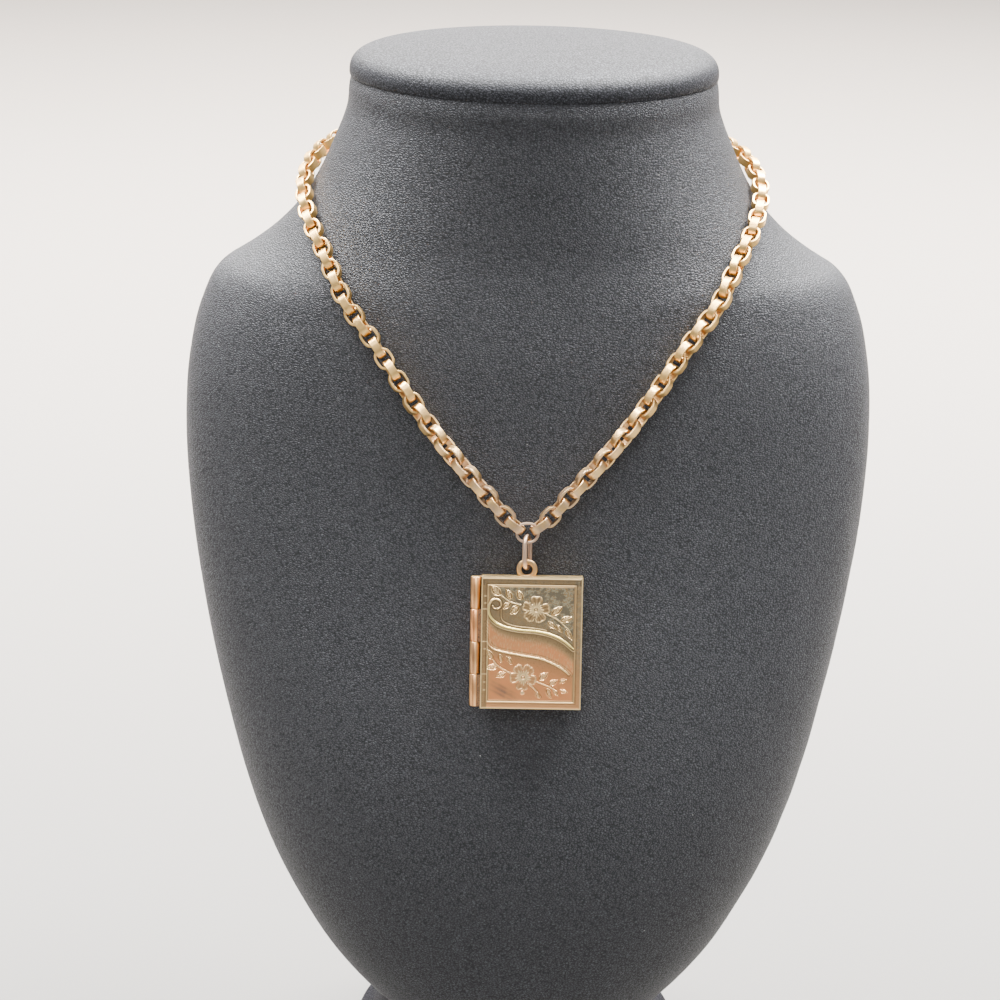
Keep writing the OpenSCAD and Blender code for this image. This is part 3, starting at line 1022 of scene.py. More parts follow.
@dataclass(frozen=True)
class Leaf:
    """A pointed leaf: its foot, length, direction in degrees and width, in millimetres."""

    foot: Point
    length: float
    turn: float
    width: float

    def relief(self, u: Values, v: Values) -> tuple[Values, Values, Values]:
        """Works out the leaf's relief.

        Args:
            u: Places to the right.
            v: Places upwards.

        Returns:
            Its height and its brightness from 0 to 1, and 1 inside the leaf with 0 outside.
        """
        c, s = math.cos(math.radians(self.turn)), math.sin(math.radians(self.turn))
        along = ((u - self.foot[0]) * c + (v - self.foot[1]) * s) / self.length
        across = ((v - self.foot[1]) * c - (u - self.foot[0]) * s) / (self.width / 2)
        bow = np.sin(math.pi * np.clip(along, 0.0, 1.0) ** 0.85)
        inside = np.where((along > 0) & (along < 1), bow ** 0.75 - np.abs(across), -1.0)
        rim = bell(inside - 0.10, 0.13)
        body = ramp(inside, 0.34, 0.52)
        veins = np.cos((along * 8 - np.abs(across) * 2.4) * math.pi) * body
        rib = bell(across, 0.10) * ramp(inside, 0.2, 0.4)
        height = 0.95 * rim + 0.62 * body + 0.16 * veins + 0.25 * rib
        light = 0.85 * rim + 0.50 * body + 0.20 * veins + 0.25 * rib
        return height, light, ramp(inside, -0.06, 0.06)


@dataclass(frozen=True)
class Flower:
    """An open flower with notched petals.

    It has a middle and a radius in millimetres, and the directions between its petals in
    degrees. The other sizes are shares of the radius, but the turn of a petal's two lobes from
    its middle, which is a share of the petal's angle.
    """

    middle: Point
    radius: float
    gaps: tuple[float, ...]
    lobe_reach: float = 0.67
    lobe_size: float = 0.285
    lobe_turn: float = 0.14
    heart: float = 0.46

    def _petals(self, right: Values, up: Values) -> tuple[Values, ...]:
        """Finds the petal that each place lies in.

        Args:
            right: Places to the right of the middle, in radii.
            up: Places above it.

        Returns:
            How far inside its petal each place is, the share of the way from one gap to the
            next, and the distance to the nearer gap, all in radii.
        """
        turn = np.degrees(np.arctan2(up, right))
        deepest = np.full(right.shape, -9.0)
        share = np.zeros(right.shape)
        aside = np.zeros(right.shape)
        ends = (*self.gaps[1:], self.gaps[0] + 360.0)
        for start, end in zip(self.gaps, ends):
            for lobe in (-1, 1):
                way = math.radians((start + end) / 2 + lobe * (end - start) * self.lobe_turn)
                x, y = self.lobe_reach * math.cos(way), self.lobe_reach * math.sin(way)
                deepest = np.maximum(deepest, self.lobe_size - np.hypot(right - x, up - y))
            way = (turn - start) % 360.0 / (end - start)
            share = np.where(way <= 1.0, way, share)
            off = np.radians(np.minimum(way, 1.0 - way) * (end - start))
            aside = np.where(way <= 1.0, np.hypot(right, up) * np.sin(off), aside)
        return deepest, share, aside

    def relief(self, u: Values, v: Values) -> tuple[Values, Values, Values]:
        """Works out the flower's relief.

        Args:
            u: Places to the right.
            v: Places upwards.

        Returns:
            Its height and its brightness from 0 to 1, and 1 inside the flower with 0 outside.
        """
        right, up = (u - self.middle[0]) / self.radius, (v - self.middle[1]) / self.radius
        r = np.hypot(right, up)
        petal, share, aside = self._petals(right, up)
        tip = bell(share - 0.5, 0.17)
        curl = bell(share - 0.27, 0.06) + bell(share - 0.73, 0.06)
        rim = bell(petal - 0.05, 0.045) * (0.10 + 0.90 * np.maximum(tip, 0.75 * curl))
        rim = rim * ramp(r, 0.55, 0.70)
        spread = 0.015 + 0.15 * ramp(r, 0.50, 0.95)
        stroke = bell(aside - spread, 0.035) * ramp(r, 0.48, 0.62) * ramp(0.92 - r, 0.0, 0.1)
        crease = bell(aside, 0.035) * ramp(r, 0.45, 0.65)
        turn = np.arctan2(up, right)
        rays = np.cos(17 * turn)
        edge = self.heart + 0.07 * np.cos(5 * turn + 1.2) + 0.095 * rays
        heart = ramp(edge - r, -0.02, 0.06)
        groove = bell(r - 0.10, 0.040)
        ring = bell(r - 0.18, 0.032)
        dot = bell(r, 0.045)
        body = (1 - heart) * (1 - rim) * (1 - stroke)
        height = 0.95 * np.maximum(rim, stroke) + heart * (0.66 + 0.10 * rays) + 0.30 * ring
        height = height + 0.42 * body - 0.45 * groove - 0.30 * crease + 0.15 * dot
        light = 0.98 * np.maximum(rim, stroke) + heart * (0.80 + 0.20 * rays) + 0.2 * ring
        veins = 0.07 * np.cos(8 * math.pi * share)
        light = light + (0.30 + veins) * body - 0.8 * groove - 0.25 * crease + 0.2 * dot
        inside = np.maximum(petal, 0.45 - r)
        return height, light, ramp(inside, -0.015, 0.025)


class Pressing:
    """The face of the cover while the relief is pressed and painted into it.

    All lengths are in millimetres. The numbers are the relief's height, under "height", and
    those that the finish reads, from 0 to 1.
    """

    def __init__(self, u: Values, v: Values, outer: Values, inner: Values) -> None:
        """Starts flat and unpainted.

        Args:
            u: Places to the right of the cover's middle.
            v: Places above it.
            outer: How far they lie inside the cover's outline.
            inner: How far they lie inside the opening of the frame.
        """
        self.u = u
        self.v = v
        self.outer = outer
        self.inner = inner
        self.numbers = {name: np.zeros(u.shape) for name in ("height", *COVER_NUMBERS)}

    def add(self, **amounts: Values) -> None:
        """Adds an amount to each named number."""
        for name, amount in amounts.items():
            self.numbers[name] = self.numbers[name] + amount

    def lift(self, **least: Values) -> None:
        """Raises each named number where it is below a value."""
        for name, value in least.items():
            self.numbers[name] = np.maximum(self.numbers[name], value)

    def fade(self, share: Values, *names: str) -> None:
        """Takes a share away from each named number."""
        for name in names:
            self.numbers[name] = self.numbers[name] * (1 - share)


@dataclass(frozen=True)
class CoverRelief:
    """The pressed picture on the cover: a ribbon with rolled edges, sprays and a frame.

    All lengths are in millimetres from the cover's middle. The joint lines, the ticks and the
    rope are marks on the strip beside the hinge, and the ribbon's curl is what lies above the
    tail's top.
    """

    half_width: float
    half_height: float
    upper_rib: tuple[Point, ...] = (
        (-9.2, 8.9), (-8.8, 8.3), (-8.1, 8.2), (-7.4, 8.6), (-7.2, 9.3), (-7.5, 10.1),
        (-8.5, 10.5), (-9.4, 10.2), (-9.95, 9.3), (-10.1, 8.2), (-9.95, 7.0), (-9.4, 5.9),
        (-8.5, 5.0), (-7.6, 4.45), (-6.2, 3.9), (-4.4, 3.5), (-2.7, 3.25), (-0.7, 3.1),
        (1.5, 2.9), (3.6, 2.5), (5.2, 2.0), (6.7, 1.3), (8.0, 0.5), (9.1, -0.4), (9.9, -1.1),
    )
    upper_fold: tuple[Point, ...] = (
        (-7.2, 8.1), (-7.2, 6.4), (-6.7, 5.3), (-5.2, 4.5), (-3.6, 4.1), (-1.4, 3.85),
        (1.2, 3.6), (3.6, 3.2),
    )
    lower_rib: tuple[Point, ...] = (
        (-10.3, 0.7), (-10.1, -0.1), (-9.5, -0.9), (-8.6, -1.5), (-7.3, -1.9), (-5.5, -2.3),
        (-3.6, -2.6), (-1.4, -3.0), (0.8, -3.3), (3.0, -3.8), (4.7, -4.5), (6.5, -5.4),
        (8.0, -6.4), (9.0, -7.3),
    )
    stems: tuple[tuple[Point, ...], ...] = (
        ((-7.4, 11.5), (-6.2, 10.6), (-5.1, 9.9), (-4.0, 9.5), (-2.6, 9.2)),
        ((3.6, 7.0), (5.4, 6.2), (6.7, 5.3), (7.8, 4.3), (8.7, 3.4), (9.3, 2.3)),
        ((-8.8, -4.2), (-7.9, -5.3), (-6.6, -6.2), (-4.8, -7.1)),
        ((1.2, -9.0), (3.2, -9.8), (4.7, -10.4), (6.2, -11.4)),
        ((-0.7, -9.5), (0.4, -10.3), (1.3, -11.3), (2.3, -12.7)),
    )
    leaves: tuple[Leaf, ...] = (
        Leaf((-7.4, 11.4), 3.2, 135, 2.1), Leaf((-4.8, 10.5), 2.6, 119, 1.5),
        Leaf((-2.4, 10.3), 2.5, 114, 1.6), Leaf((-5.1, 9.7), 2.4, 221, 1.4),
        Leaf((-3.1, 8.9), 2.8, 225, 1.7), Leaf((4.6, 6.9), 3.2, 38, 1.7),
        Leaf((6.7, 5.4), 3.0, 20, 1.5), Leaf((3.8, 5.3), 2.6, -42, 1.2),
        Leaf((5.8, 4.6), 2.4, -54, 1.1), Leaf((8.0, 3.4), 2.8, -56, 1.2),
        Leaf((-8.9, -4.0), 2.9, 122, 1.5), Leaf((-6.8, -4.7), 2.3, 108, 1.2),
        Leaf((-4.4, -5.0), 2.3, 124, 1.1), Leaf((-7.7, -5.5), 2.8, 190, 1.5),
        Leaf((-5.9, -7.0), 2.6, 206, 1.5), Leaf((1.9, -8.7), 2.9, 41, 1.6),
        Leaf((4.3, -9.9), 2.3, 34, 1.4), Leaf((1.2, -11.4), 2.0, -60, 1.0),
        Leaf((3.8, -10.6), 2.7, -65, 1.3), Leaf((5.2, -10.9), 2.1, -47, 1.0),
        Leaf((6.6, -9.3), 2.0, 25, 1.1), Leaf((6.9, -11.0), 1.9, -18, 1.0),
    )
    flowers: tuple[Flower, ...] = (
        Flower((0.95, 8.1), 3.45, (40.0, 134.0, 190.0, 264.0, 333.0)),
        Flower((-1.8, -8.0), 3.35, (15.0, 92.0, 152.0, 219.0, 310.0)),
    )
    drop: Point = (-1.9, -11.75)
    frame_left: float = -10.3
    frame_right: float = 10.2
    frame_low: float = -14.0
    frame_high: float = 13.8
    tail_top: float = 7.5
    rolled_edge: float = 0.42
    ribbon_rise: float = 0.15
    stem_half: float = 0.19
    stem_rise: float = 0.17
    motif_rise: float = 0.21
    drop_radius: float = 0.55
    drop_rise: float = 0.18
    rope_middle: float = 3.7
    rope_half: float = 2.1
    rope_pitch: float = 0.78
    smudge_at: Point = (-6.6, -11.4)
    joint_lines: tuple[float, ...] = (8.1, 0.35, -7.4)
    strip_ticks: tuple[float, ...] = (11.2, 9.5, -1.4, -9.3, -11.2)

    def heights(self, u: Values, v: Values) -> dict[str, Values]:
        """Works out the relief and the numbers that the finish reads.

        Args:
            u: Places to the right of the cover's middle.
            v: Places above it.

        Returns:
            The height in millimetres under "height", and the painted numbers by name.
        """
        outer = np.minimum(self.half_width - np.abs(u), self.half_height - np.abs(v))
        inner = np.minimum(
            np.minimum(u - self.frame_left, self.frame_right - u),
            np.minimum(v - self.frame_low, self.frame_high - v),
        )
        face = Pressing(u, v, outer, inner)
        upper, lower = Line(self.upper_rib), Line(self.lower_rib)
        self._border(face)
        self._frame_paint(face)
        self._ribbon(face, upper, lower)
        self._ribs(face, upper, lower)
        self._sprays(face)
        for name in COVER_NUMBERS:
            face.numbers[name] = np.clip(face.numbers[name], 0.0, 1.0)
        return face.numbers

    def _border(self, face: Pressing) -> None:
        """Presses the rolled outer edge, the moulding and the frame lines.

        Args:
            face: The cover's face.
        """
        outer, inner = face.outer, face.inner
        roll = self.rolled_edge
        rolled = roll * (np.sqrt(np.clip(1 - (1 - np.clip(outer / roll, 0, 1)) ** 2, 0, 1)) - 1)
        band = np.maximum(outer - inner, 0.3)
        mould = 0.13 * np.sin(math.pi * np.clip(outer / band, 0, 1)) ** 0.8
        lines = 0.15 * bell(inner + 0.02, 0.14) + 0.08 * bell(inner - 0.34, 0.09)
        face.add(height=rolled + mould + lines)

    def _frame_paint(self, face: Pressing) -> None:
        """Paints the band outside the frame, its lines and the marks of the hinge strip, with
        painted highlights on the lines and edges and painted shade beside the frame line.

        Args:
            face: The cover's face.
        """
        u, v, outer, inner = face.u, face.v, face.outer, face.inner
        band = ramp(-inner, 0.05, 0.25)
        strip = ramp(self.frame_left - u, 0.0, 0.15)
        above = ramp(v - self.frame_high, -0.2, 0.2)
        beside = ramp(u - self.frame_right, -0.3, 0.1)
        face.add(
            olive=band * (0.55 + 0.45 * above) * ramp(v + u, -16.0, 12.0) + 0.75 * strip,
            rose=band * (1 - strip) * ramp(-v, -4.0, 12.0) * 0.55 + 0.25 * strip,
            speckle=0.25 * band * above + 0.45 * band * beside * ramp(v, -9.0, 0.0),
            # A darker top band with a dark line along it: painted shade and grime.
            grime=0.20 * band * above + 0.50 * bell(outer - 0.60, 0.14) * above,
        )
        # Painted highlights on the frame line and the rolled outer edge, dimmer on the right and at
        # the lower left, with painted shade on both sides of the frame line.
        right_side = ramp(u - self.frame_right, -0.6, -0.2)
        low_left = ramp(self.frame_low - v, -0.8, -0.2) * ramp(3.0 - u, 0.0, 6.0)
        shine = 0.80 * (1 - 0.6 * right_side) * (1 - 0.4 * low_left)
        face.add(
            ridge=shine * bell(inner + 0.02, 0.10) + 0.95 * ramp(0.32 - outer, 0.0, 0.14),
            grime=0.62 * bell(inner + 0.32, 0.12) + 0.55 * bell(inner - 0.22, 0.09),
        )
        # Painted highlights on the joint lines, the ticks and the rope.
        for height in self.joint_lines:
            line = bell(v - height, 0.09) * strip
            face.add(ridge=0.8 * line, height=0.05 * line)
        for height in self.strip_ticks:
            tick = bell(v - height, 0.16) * bell(u - self.frame_left + 0.62, 0.28)
            face.add(ridge=0.8 * tick, height=0.06 * tick)
        rope = ramp(self.rope_half - np.abs(v - self.rope_middle), 0.0, 0.4)
        rope = rope * bell(u - self.frame_left - 0.05, 0.30)
        slants = np.sin(2 * math.pi * (v + 1.3 * u) / self.rope_pitch) * rope
        face.add(height=0.07 * slants, ridge=0.45 * slants)

    def _ribbon(self, face: Pressing, upper: Line, lower: Line) -> None:
        """Bows the ribbon between its rolled edges.

        Args:
            face: The cover's face.
            upper: The line of the upper edge, with its curl.
            lower: The line of the lower edge.
        """
        tail = upper.points[upper.points[:, 1] < self.tail_top]
        top = np.interp(face.u, tail[:, 0], tail[:, 1])
        bottom = lower.height_at(face.u)
        under = top - face.v
        share = np.clip((face.v - bottom) / np.maximum(top - bottom, 0.2), 0.0, 1.0)
        ribbon = ramp(face.v, bottom - 0.05, bottom + 0.15) * ramp(under, -0.05, 0.15)
        ribbon = ribbon * ramp(face.inner, 0.0, 0.3)
        face.add(height=ribbon * self.ribbon_rise * np.sin(math.pi * share ** 1.25))
        self._tints(face, ribbon, under)

    def _tints(self, face: Pressing, ribbon: Values, under: Values) -> None:
        """Paints where the metal has turned rose, olive, mottled or grey, and the painted shade in
        the ribbon under its upper edge and low in the field.

        Args:
            face: The cover's face.
            ribbon: 1 on the ribbon and 0 off it.
            under: How far places lie below the ribbon's upper edge.
        """
        u, v = face.u, face.v
        field = ramp(face.inner, 0.2, 0.6) * (1 - ribbon)
        below = ramp(-v - 0.15 * u, 1.0, 6.0) * field
        # Painted shade in olive, low in the field and in the ribbon under its upper edge.
        low_shade = ramp(-v - 0.30 * u, 8.5, 2.5) * field * (v < 0)
        above = ramp(v + 0.30 * u, -1.5, 3.5) * field
        shadow = ramp(3.3 + 0.05 * u - under, 0.0, 2.2) * ribbon
        aside = v - self.smudge_at[1] + 0.52 * (u - self.smudge_at[0])
        streaks = bell(aside, 0.55) + 0.8 * bell(aside + 1.15, 0.40) + 0.6 * bell(aside - 1.0, 0.35)
        face.add(
            rose=below + ribbon * ramp(under - 0.05 * u, 1.5, 3.4),
            # Painted shade in dark brown along the ribbon's upper edge.
            grime=0.30 * ramp(1.4 - under, 0.0, 1.1) * ribbon,
            olive=above * 0.95 + shadow + low_shade * 0.6,
            speckle=above * ramp(v + 0.7 * u, 3.0, 13.0) + 0.25 * above,
            smudge=0.85 * streaks * bell(u + 6.4, 2.7) * ramp(face.inner, 0.2, 0.6),
            strokes=ribbon,
        )

    def _ribs(self, face: Pressing, upper: Line, lower: Line) -> None:
        """Presses the ribbon's rolled edges with the thin lines beside them, with painted
        highlights on their crests and painted shade beside them.

        Args:
            face: The cover's face.
            upper: The line of the upper edge, with its curl.
            lower: The line of the lower edge.
        """
        field = ramp(face.inner, -0.15, 0.1)
        for line, half, rise, light, glow in (
            (upper, 0.27, 0.28, 0.95, 0.75),
            (lower, 0.21, 0.22, 0.95, 0.15),
            (Line(self.upper_fold), 0.13, 0.10, 0.60, 0.0),
        ):
            away, along = line.read(face.u, face.v)
            thin = 0.48 + 0.52 * ramp(along, 0.06, 0.36) * ramp(1 - along, 0.0, 0.06)
            round_top = np.sqrt(np.clip(1 - (away / (half * thin)) ** 2, 0.0, 1.0))
            before = face.numbers["height"]
            raised = np.maximum(np.minimum(before, 0.02) + rise * round_top, before)
            on_rib = (round_top > 0) & (field > 0.5)
            face.numbers["height"] = np.where(on_rib, raised, before)
            crest = ramp(round_top, 0.30, 0.85) * field
            face.fade(crest, "olive", "speckle", "grime", "rose", "smudge")
            # Painted shade on both sides of each edge, and painted highlights on its crest, yellow
            # on the upper edge.
            shade = bell(np.abs(away) - half - 0.09, 0.12) * field
            face.lift(
                ridge=light * crest,
                glow=glow * crest * ramp(along, 0.30, 0.45),
                grime=0.72 * shade,
            )
        # The thin lines beside the edges: painted highlights on them, painted shade beyond.
        for line, offset, light, reach in ((upper, -0.60, 0.62, 0.42), (lower, 0.52, 0.35, 0.0)):
            away, along = line.read(face.u, face.v)
            drawn = ramp(along, reach, reach + 0.08) * field
            echo = bell(away - offset, 0.10) * drawn
            shade = bell(away - offset * 1.45, 0.13) * drawn
            face.add(height=0.07 * echo)
            face.lift(ridge=light * echo, grime=0.5 * shade)

    def _sprays(self, face: Pressing) -> None:
        """Presses the stems, leaves and flowers, each with painted highlights on its raised parts
        and a line of painted shade round it.

        Args:
            face: The cover's face.
        """
        u, v = face.u, face.v
        field = ramp(face.inner, 0.35, 0.55)
        for stem in self.stems:
            away, _ = Line(stem).read(u, v)
            away = np.abs(away)
            round_top = np.sqrt(np.clip(1 - (away / self.stem_half) ** 2, 0, 1))
            # Painted highlight on each stem's top and a line of painted shade beside it.
            face.lift(
                height=self.stem_rise * round_top * field,
                ridge=0.9 * ramp(self.stem_half - away, 0.0, 0.12) * field,
                grime=0.6 * bell(away - self.stem_half - 0.09, 0.09) * field,
            )
        for motif in (*self.leaves, *self.flowers):
            height, light, inside = motif.relief(u, v)
            edge = 4 * inside * (1 - inside)
            face.fade(inside, "height", "speckle", "smudge", "ridge", "grime", "glow")
            face.fade(0.8 * inside * ramp(light, 0.15, 0.5), "olive")
            face.fade(0.5 * inside, "rose")
            # Painted highlights where the motif is bright, painted shade where it is dark and round
            # its outline.
            face.add(
                height=inside * self.motif_rise * height,
                ridge=inside * ramp(light, 0.32, 0.95),
                grime=0.72 * inside * ramp(0.38 - light, 0.0, 0.4) + 0.5 * edge,
            )
        drop = np.hypot(u - self.drop[0], v - self.drop[1]) / self.drop_radius
        # Painted highlight on the drop.
        face.add(
            height=self.drop_rise * np.sqrt(np.clip(1 - drop ** 2, 0, 1)),
            ridge=0.9 * ramp(1 - drop, 0.0, 0.5),
        )


@dataclass
class BookLocket:
    """The locket: two shallow halves on a knuckled hinge, a soldered loop and a jump ring.

    The painted light and shade of the barrel are lines at places across it in millimetres, each
    with the number that it paints and its value: pale and dark reflections, and shade by the slit.
    The loop is sunk into the top of the back half and lies inside its back by its inset.
    """

    hinge: HingePlace
    height: float = 31.35 * MM
    width: float = 23.7 * MM
    depth: float = 2.3 * MM
    wall: float = 0.55 * MM
    gap: float = 0.1 * MM
    cell: float = 0.093 * MM
    outer_round: float = 0.45 * MM
    parting_round: float = 0.16 * MM
    top_highlight: float = 0.2 * MM
    crisp_deg: float = 50.0
    pin_d: float = 0.9 * MM
    pin_play: float = 0.05 * MM
    knuckle_d: float = 2.5 * MM
    knuckle_round: float = 0.12 * MM
    knuckle_steps: int = 48
    knuckles: int = 4
    hinge_inset: float = 0.15 * MM
    web_overlap: float = 0.02 * MM
    knuckle_tints: tuple[dict[str, float], ...] = (
        {"rose": 0.55}, {"rose": 0.5, "smudge": 0.3}, {"rose": 0.95}, {"rose": 0.5},
    )
    barrel_light_and_shade: tuple[tuple[float, str, float], ...] = (
        (-1.1, "ridge", 0.65), (-0.4, "grime", 0.50), (0.15, "ridge", 0.80), (1.1, "grime", 0.6),
        (1.22, "grime", 0.9),
    )
    barrel_line_half: float = 0.085
    loop: OvalRing = OvalRing(
        length=4.95 * MM, width=4.95 * MM, band=1.2 * MM, thickness=1.2 * MM,
        corner=0.32 * MM, steps=16,
    )
    loop_sink: float = 1.0 * MM
    loop_inset: float = 1.5 * MM
    ring: OvalRing = OvalRing(
        length=8.7 * MM, width=5.2 * MM, band=1.15 * MM, thickness=1.15 * MM,
        corner=0.575 * MM, steps=16,
    )

    @property
    def first_x(self) -> float:
        """How far the halves start from the hinge's axis."""
        return self.knuckle_d / 2 + self.gap

    @property
    def middle_x(self) -> float:
        """How far the cover's middle is from the hinge's axis."""
        return self.first_x + self.width / 2

    def _face_grid(self) -> Form:
        """Builds the cover's face as a fine grid and presses the relief into it.

        Returns:
            The face, with its middle at X 0 and Z 0.
        """
        form = Form(COVER_NUMBERS)
        columns = round(self.width / self.cell)
        rows = round(self.height / self.cell)
        bmesh.ops.create_grid(form.bm, x_segments=columns, y_segments=rows, size=1.0)
        relief = CoverRelief(self.width / 2 / MM, self.height / 2 / MM)
        flat = np.array([vert.co[:2] for vert in form.bm.verts])
        u = flat[:, 0] * relief.half_width
        v = flat[:, 1] * relief.half_height
        numbers = relief.heights(u, v)
        height = numbers.pop("height") * MM
        layers = {name: form.bm.verts.layers.float[name] for name in numbers}
        front = -self.gap / 2 - self.depth
        for i, vert in enumerate(form.bm.verts):
            vert.co = (u[i] * MM, front - height[i], v[i] * MM)
            for name, layer in layers.items():
                vert[layer] = numbers[name][i]
        return form

    def _walls(self, form: Form) -> None:
        """Extrudes the open edge of the cover's face back into walls, a rim and a floor, and paints
        shade on the walls and rim.

        Args:
            form: The face, with its middle at X 0 and Z 0.
        """
        rim_y = -self.gap / 2
        floor_y = -(self.gap / 2 + self.depth - self.wall)
        inward = Vector((1 - 2 * self.wall / self.width, 1.0, 1 - 2 * self.wall / self.height))
        steps = ((rim_y, Vector((1, 1, 1))), (rim_y, inward), (floor_y, Vector((1, 1, 1))))
        for y, scale in steps:
            made = bmesh.ops.extrude_edge_only(form.bm, edges=form.open_edges())["geom"]
            verts = only(BMVert, made)
            for vert in verts:
                vert.co = vert.co * scale
                vert.co.y = y
            for name in COVER_NUMBERS:
                form.paint(name, verts, 0.0)
            inside = y == floor_y
            # Painted shade on the walls and rim in olive and dark brown; the floor inside gets less
            # of both.
            form.paint("olive", verts, 0.3 if inside else 0.9)
            form.paint("grime", verts, 0.1 if inside else 1.0)
        bmesh.ops.edgeloop_fill(form.bm, edges=form.open_edges())
        bmesh.ops.recalc_face_normals(form.bm, faces=form.bm.faces)

    @staticmethod
    def _block(form: Form, size: Place, middle: Place) -> list[BMVert]:
        """Adds a box.

        Args:
            form: The form that takes it.
            size: Its three sizes.
            middle: Its middle.

        Returns:
            Its vertices.
        """
        place = Matrix.Translation(middle) @ Matrix.Diagonal((*size, 1.0))
        return bmesh.ops.create_cube(form.bm, size=1.0, matrix=place)["verts"]

    def _shell(self) -> Form:
        """Builds the back half: a shallow tray with rounded outer edges and a painted highlight
        along its top.

        Returns:
            The tray, with its middle at X 0 and Z 0.
        """
        form = Form(COVER_NUMBERS)
        middle = (0.0, self.gap / 2 + self.depth / 2, 0.0)
        self._block(form, (self.width, self.depth, self.height), middle)
        rim = [face for face in form.bm.faces if face.normal.y < -0.5]
        bmesh.ops.inset_region(form.bm, faces=rim, thickness=self.wall)
        floor = bmesh.ops.extrude_discrete_faces(form.bm, faces=rim)["faces"]
        deep = (0.0, self.depth - self.wall, 0.0)
        bmesh.ops.translate(form.bm, verts=floor[0].verts, vec=deep)
        outer_y = self.gap / 2 + self.depth
        outer = [
            edge for edge in form.bm.edges
            if all(vert.co.y > outer_y - MERGE for vert in edge.verts)
        ]
        parting = [edge for edge in form.bm.edges if all(map(self._at_parting, edge.verts))]
        rounds = ((outer, self.outer_round, 5), (parting, self.parting_round, 2))
        for edges, offset, segments in rounds:
            bmesh.ops.bevel(
                form.bm,
                geom=edges,
                offset=offset,
                segments=segments,
                profile=0.5,
                affect="EDGES",
                material=-1,
            )
        # Painted highlight along the top edge.
        top = self.height / 2 - self.top_highlight
        form.paint("ridge", [vert for vert in form.bm.verts if vert.co.z > top], 1.0)
        return form

    def _at_parting(self, vert: BMVert) -> bool:
        """Tells whether a vertex of the back half lies on the outer edge of its rim."""
        across = self.width / 2 - abs(vert.co.x)
        at_outside = min(across, self.height / 2 - abs(vert.co.z)) < MERGE
        return vert.co.y < self.gap / 2 + MERGE and at_outside

    def _knuckle(self, low: float, high: float, side: int) -> Form:
        """Builds one hinge knuckle with its web to the half, with painted highlights on its ends,
        painted reflections down its front and painted shade on the web.

        Args:
            low: Its lower end along the hinge.
            high: Its upper end.
            side: -1 for a knuckle of the cover, 1 for one of the back.

        Returns:
            The knuckle.
        """
        form = Form(COVER_NUMBERS)
        radius = self.knuckle_d / 2
        bore = self.pin_d / 2 + self.pin_play
        soft = self.knuckle_round
        outline = [(bore, low), (radius - soft, low), (radius, low + soft)]
        outline += [(radius, high - soft), (radius - soft, high), (bore, high)]
        verts = [form.bm.verts.new((x, 0.0, z)) for x, z in outline]
        edges = [form.bm.edges.new(pair) for pair in zip(verts, verts[1:] + verts[:1])]
        bmesh.ops.spin(
            form.bm,
            geom=verts + edges,
            cent=(0, 0, 0),
            axis=(0, 0, 1),
            angle=2 * math.pi,
            steps=self.knuckle_steps,
            use_merge=True,
        )
        form.closed()
        # Painted highlights on the rounded ends.
        ends = [v for v in form.bm.verts if v.co.z < low + MERGE or v.co.z > high - MERGE]
        form.paint("ridge", ends, 0.8)
        # Painted reflections down the barrel's front as pale and dark lines, with painted shade on
        # its right edge by the slit.
        front = [vert for vert in form.bm.verts if vert.co.y < 0]
        for place, name, value in self.barrel_light_and_shade:
            line = [v for v in front if abs(v.co.x / MM - place) < self.barrel_line_half]
            form.paint(name, line, value)
        depth = radius - self.gap / 2
        web = self._block(
            form,
            (self.first_x - bore + self.web_overlap, depth, high - low),
            ((self.first_x + bore) / 2, side * (self.gap / 2 + depth / 2), (low + high) / 2),
        )
        # Painted shade: the web between knuckle and half is painted dark.
        form.paint("grime", web, 1.0)
        return form

    def _knuckle_set(self, form: Form, first: int, side: int) -> None:
        """Moves a half beside the hinge and adds every other knuckle to it.

        Args:
            form: The half, with its middle at X 0 and Z 0.
            first: The number of its lowest knuckle, from 0.
            side: -1 for the cover, 1 for the back.
        """
        bmesh.ops.translate(form.bm, verts=form.bm.verts, vec=(self.middle_x, 0.0, 0.0))
        step = (self.height - 2 * self.hinge_inset) / self.knuckles
        base = -self.height / 2 + self.hinge_inset
        for k in range(first, self.knuckles, 2):
            low = base + k * step + self.gap / 2
            single = self._knuckle(low, low + step - self.gap, side)
            verts = form.add(single)
            single.bm.free()
            for name, value in self.knuckle_tints[k].items():
                form.paint(name, verts, value)

    def _half(self, form: Form, name: str, body: str, node: str, finish: CoverGold) -> None:
        """Makes a half the finished piece.

        Args:
            form: The half in the hinge's frame.
            name: The piece's name.
            body: The body that it rides on.
            node: The node that it replaces.
            finish: Its finish.
        """
        bmesh.ops.transform(form.bm, matrix=self.hinge.matrix, verts=form.bm.verts)
        made = form.piece(name, body, "rose_gold", finish.material())
        sharpen(made, self.crisp_deg)
        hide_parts(node)

    def build_cover(self) -> None:
        """Builds the front half with its relief and knuckles."""
        form = self._face_grid()
        self._walls(form)
        self._knuckle_set(form, 0, -1)
        self._half(form, "cover_pressed", "cover", "front_cover", CoverGold("cover_gold"))

    def build_back(self) -> None:
        """Builds the back half with its knuckles and the soldered loop."""
        form = self._shell()
        self._knuckle_set(form, 1, 1)
        loop_x = (self.first_x + self.width - self.knuckle_d / 2) / 2
        loop_y = self.gap / 2 + self.depth - self.loop_inset
        loop_z = self.height / 2 + self.loop.length / 2 - self.loop_sink
        upright = Matrix.Rotation(math.pi / 2, 4, "X")
        form.add(self.loop.build(), Matrix.Translation((loop_x, loop_y, loop_z)) @ upright)
        self._half(form, "locket_back_shell", "locket", "locket_back", CoverGold("back_gold"))

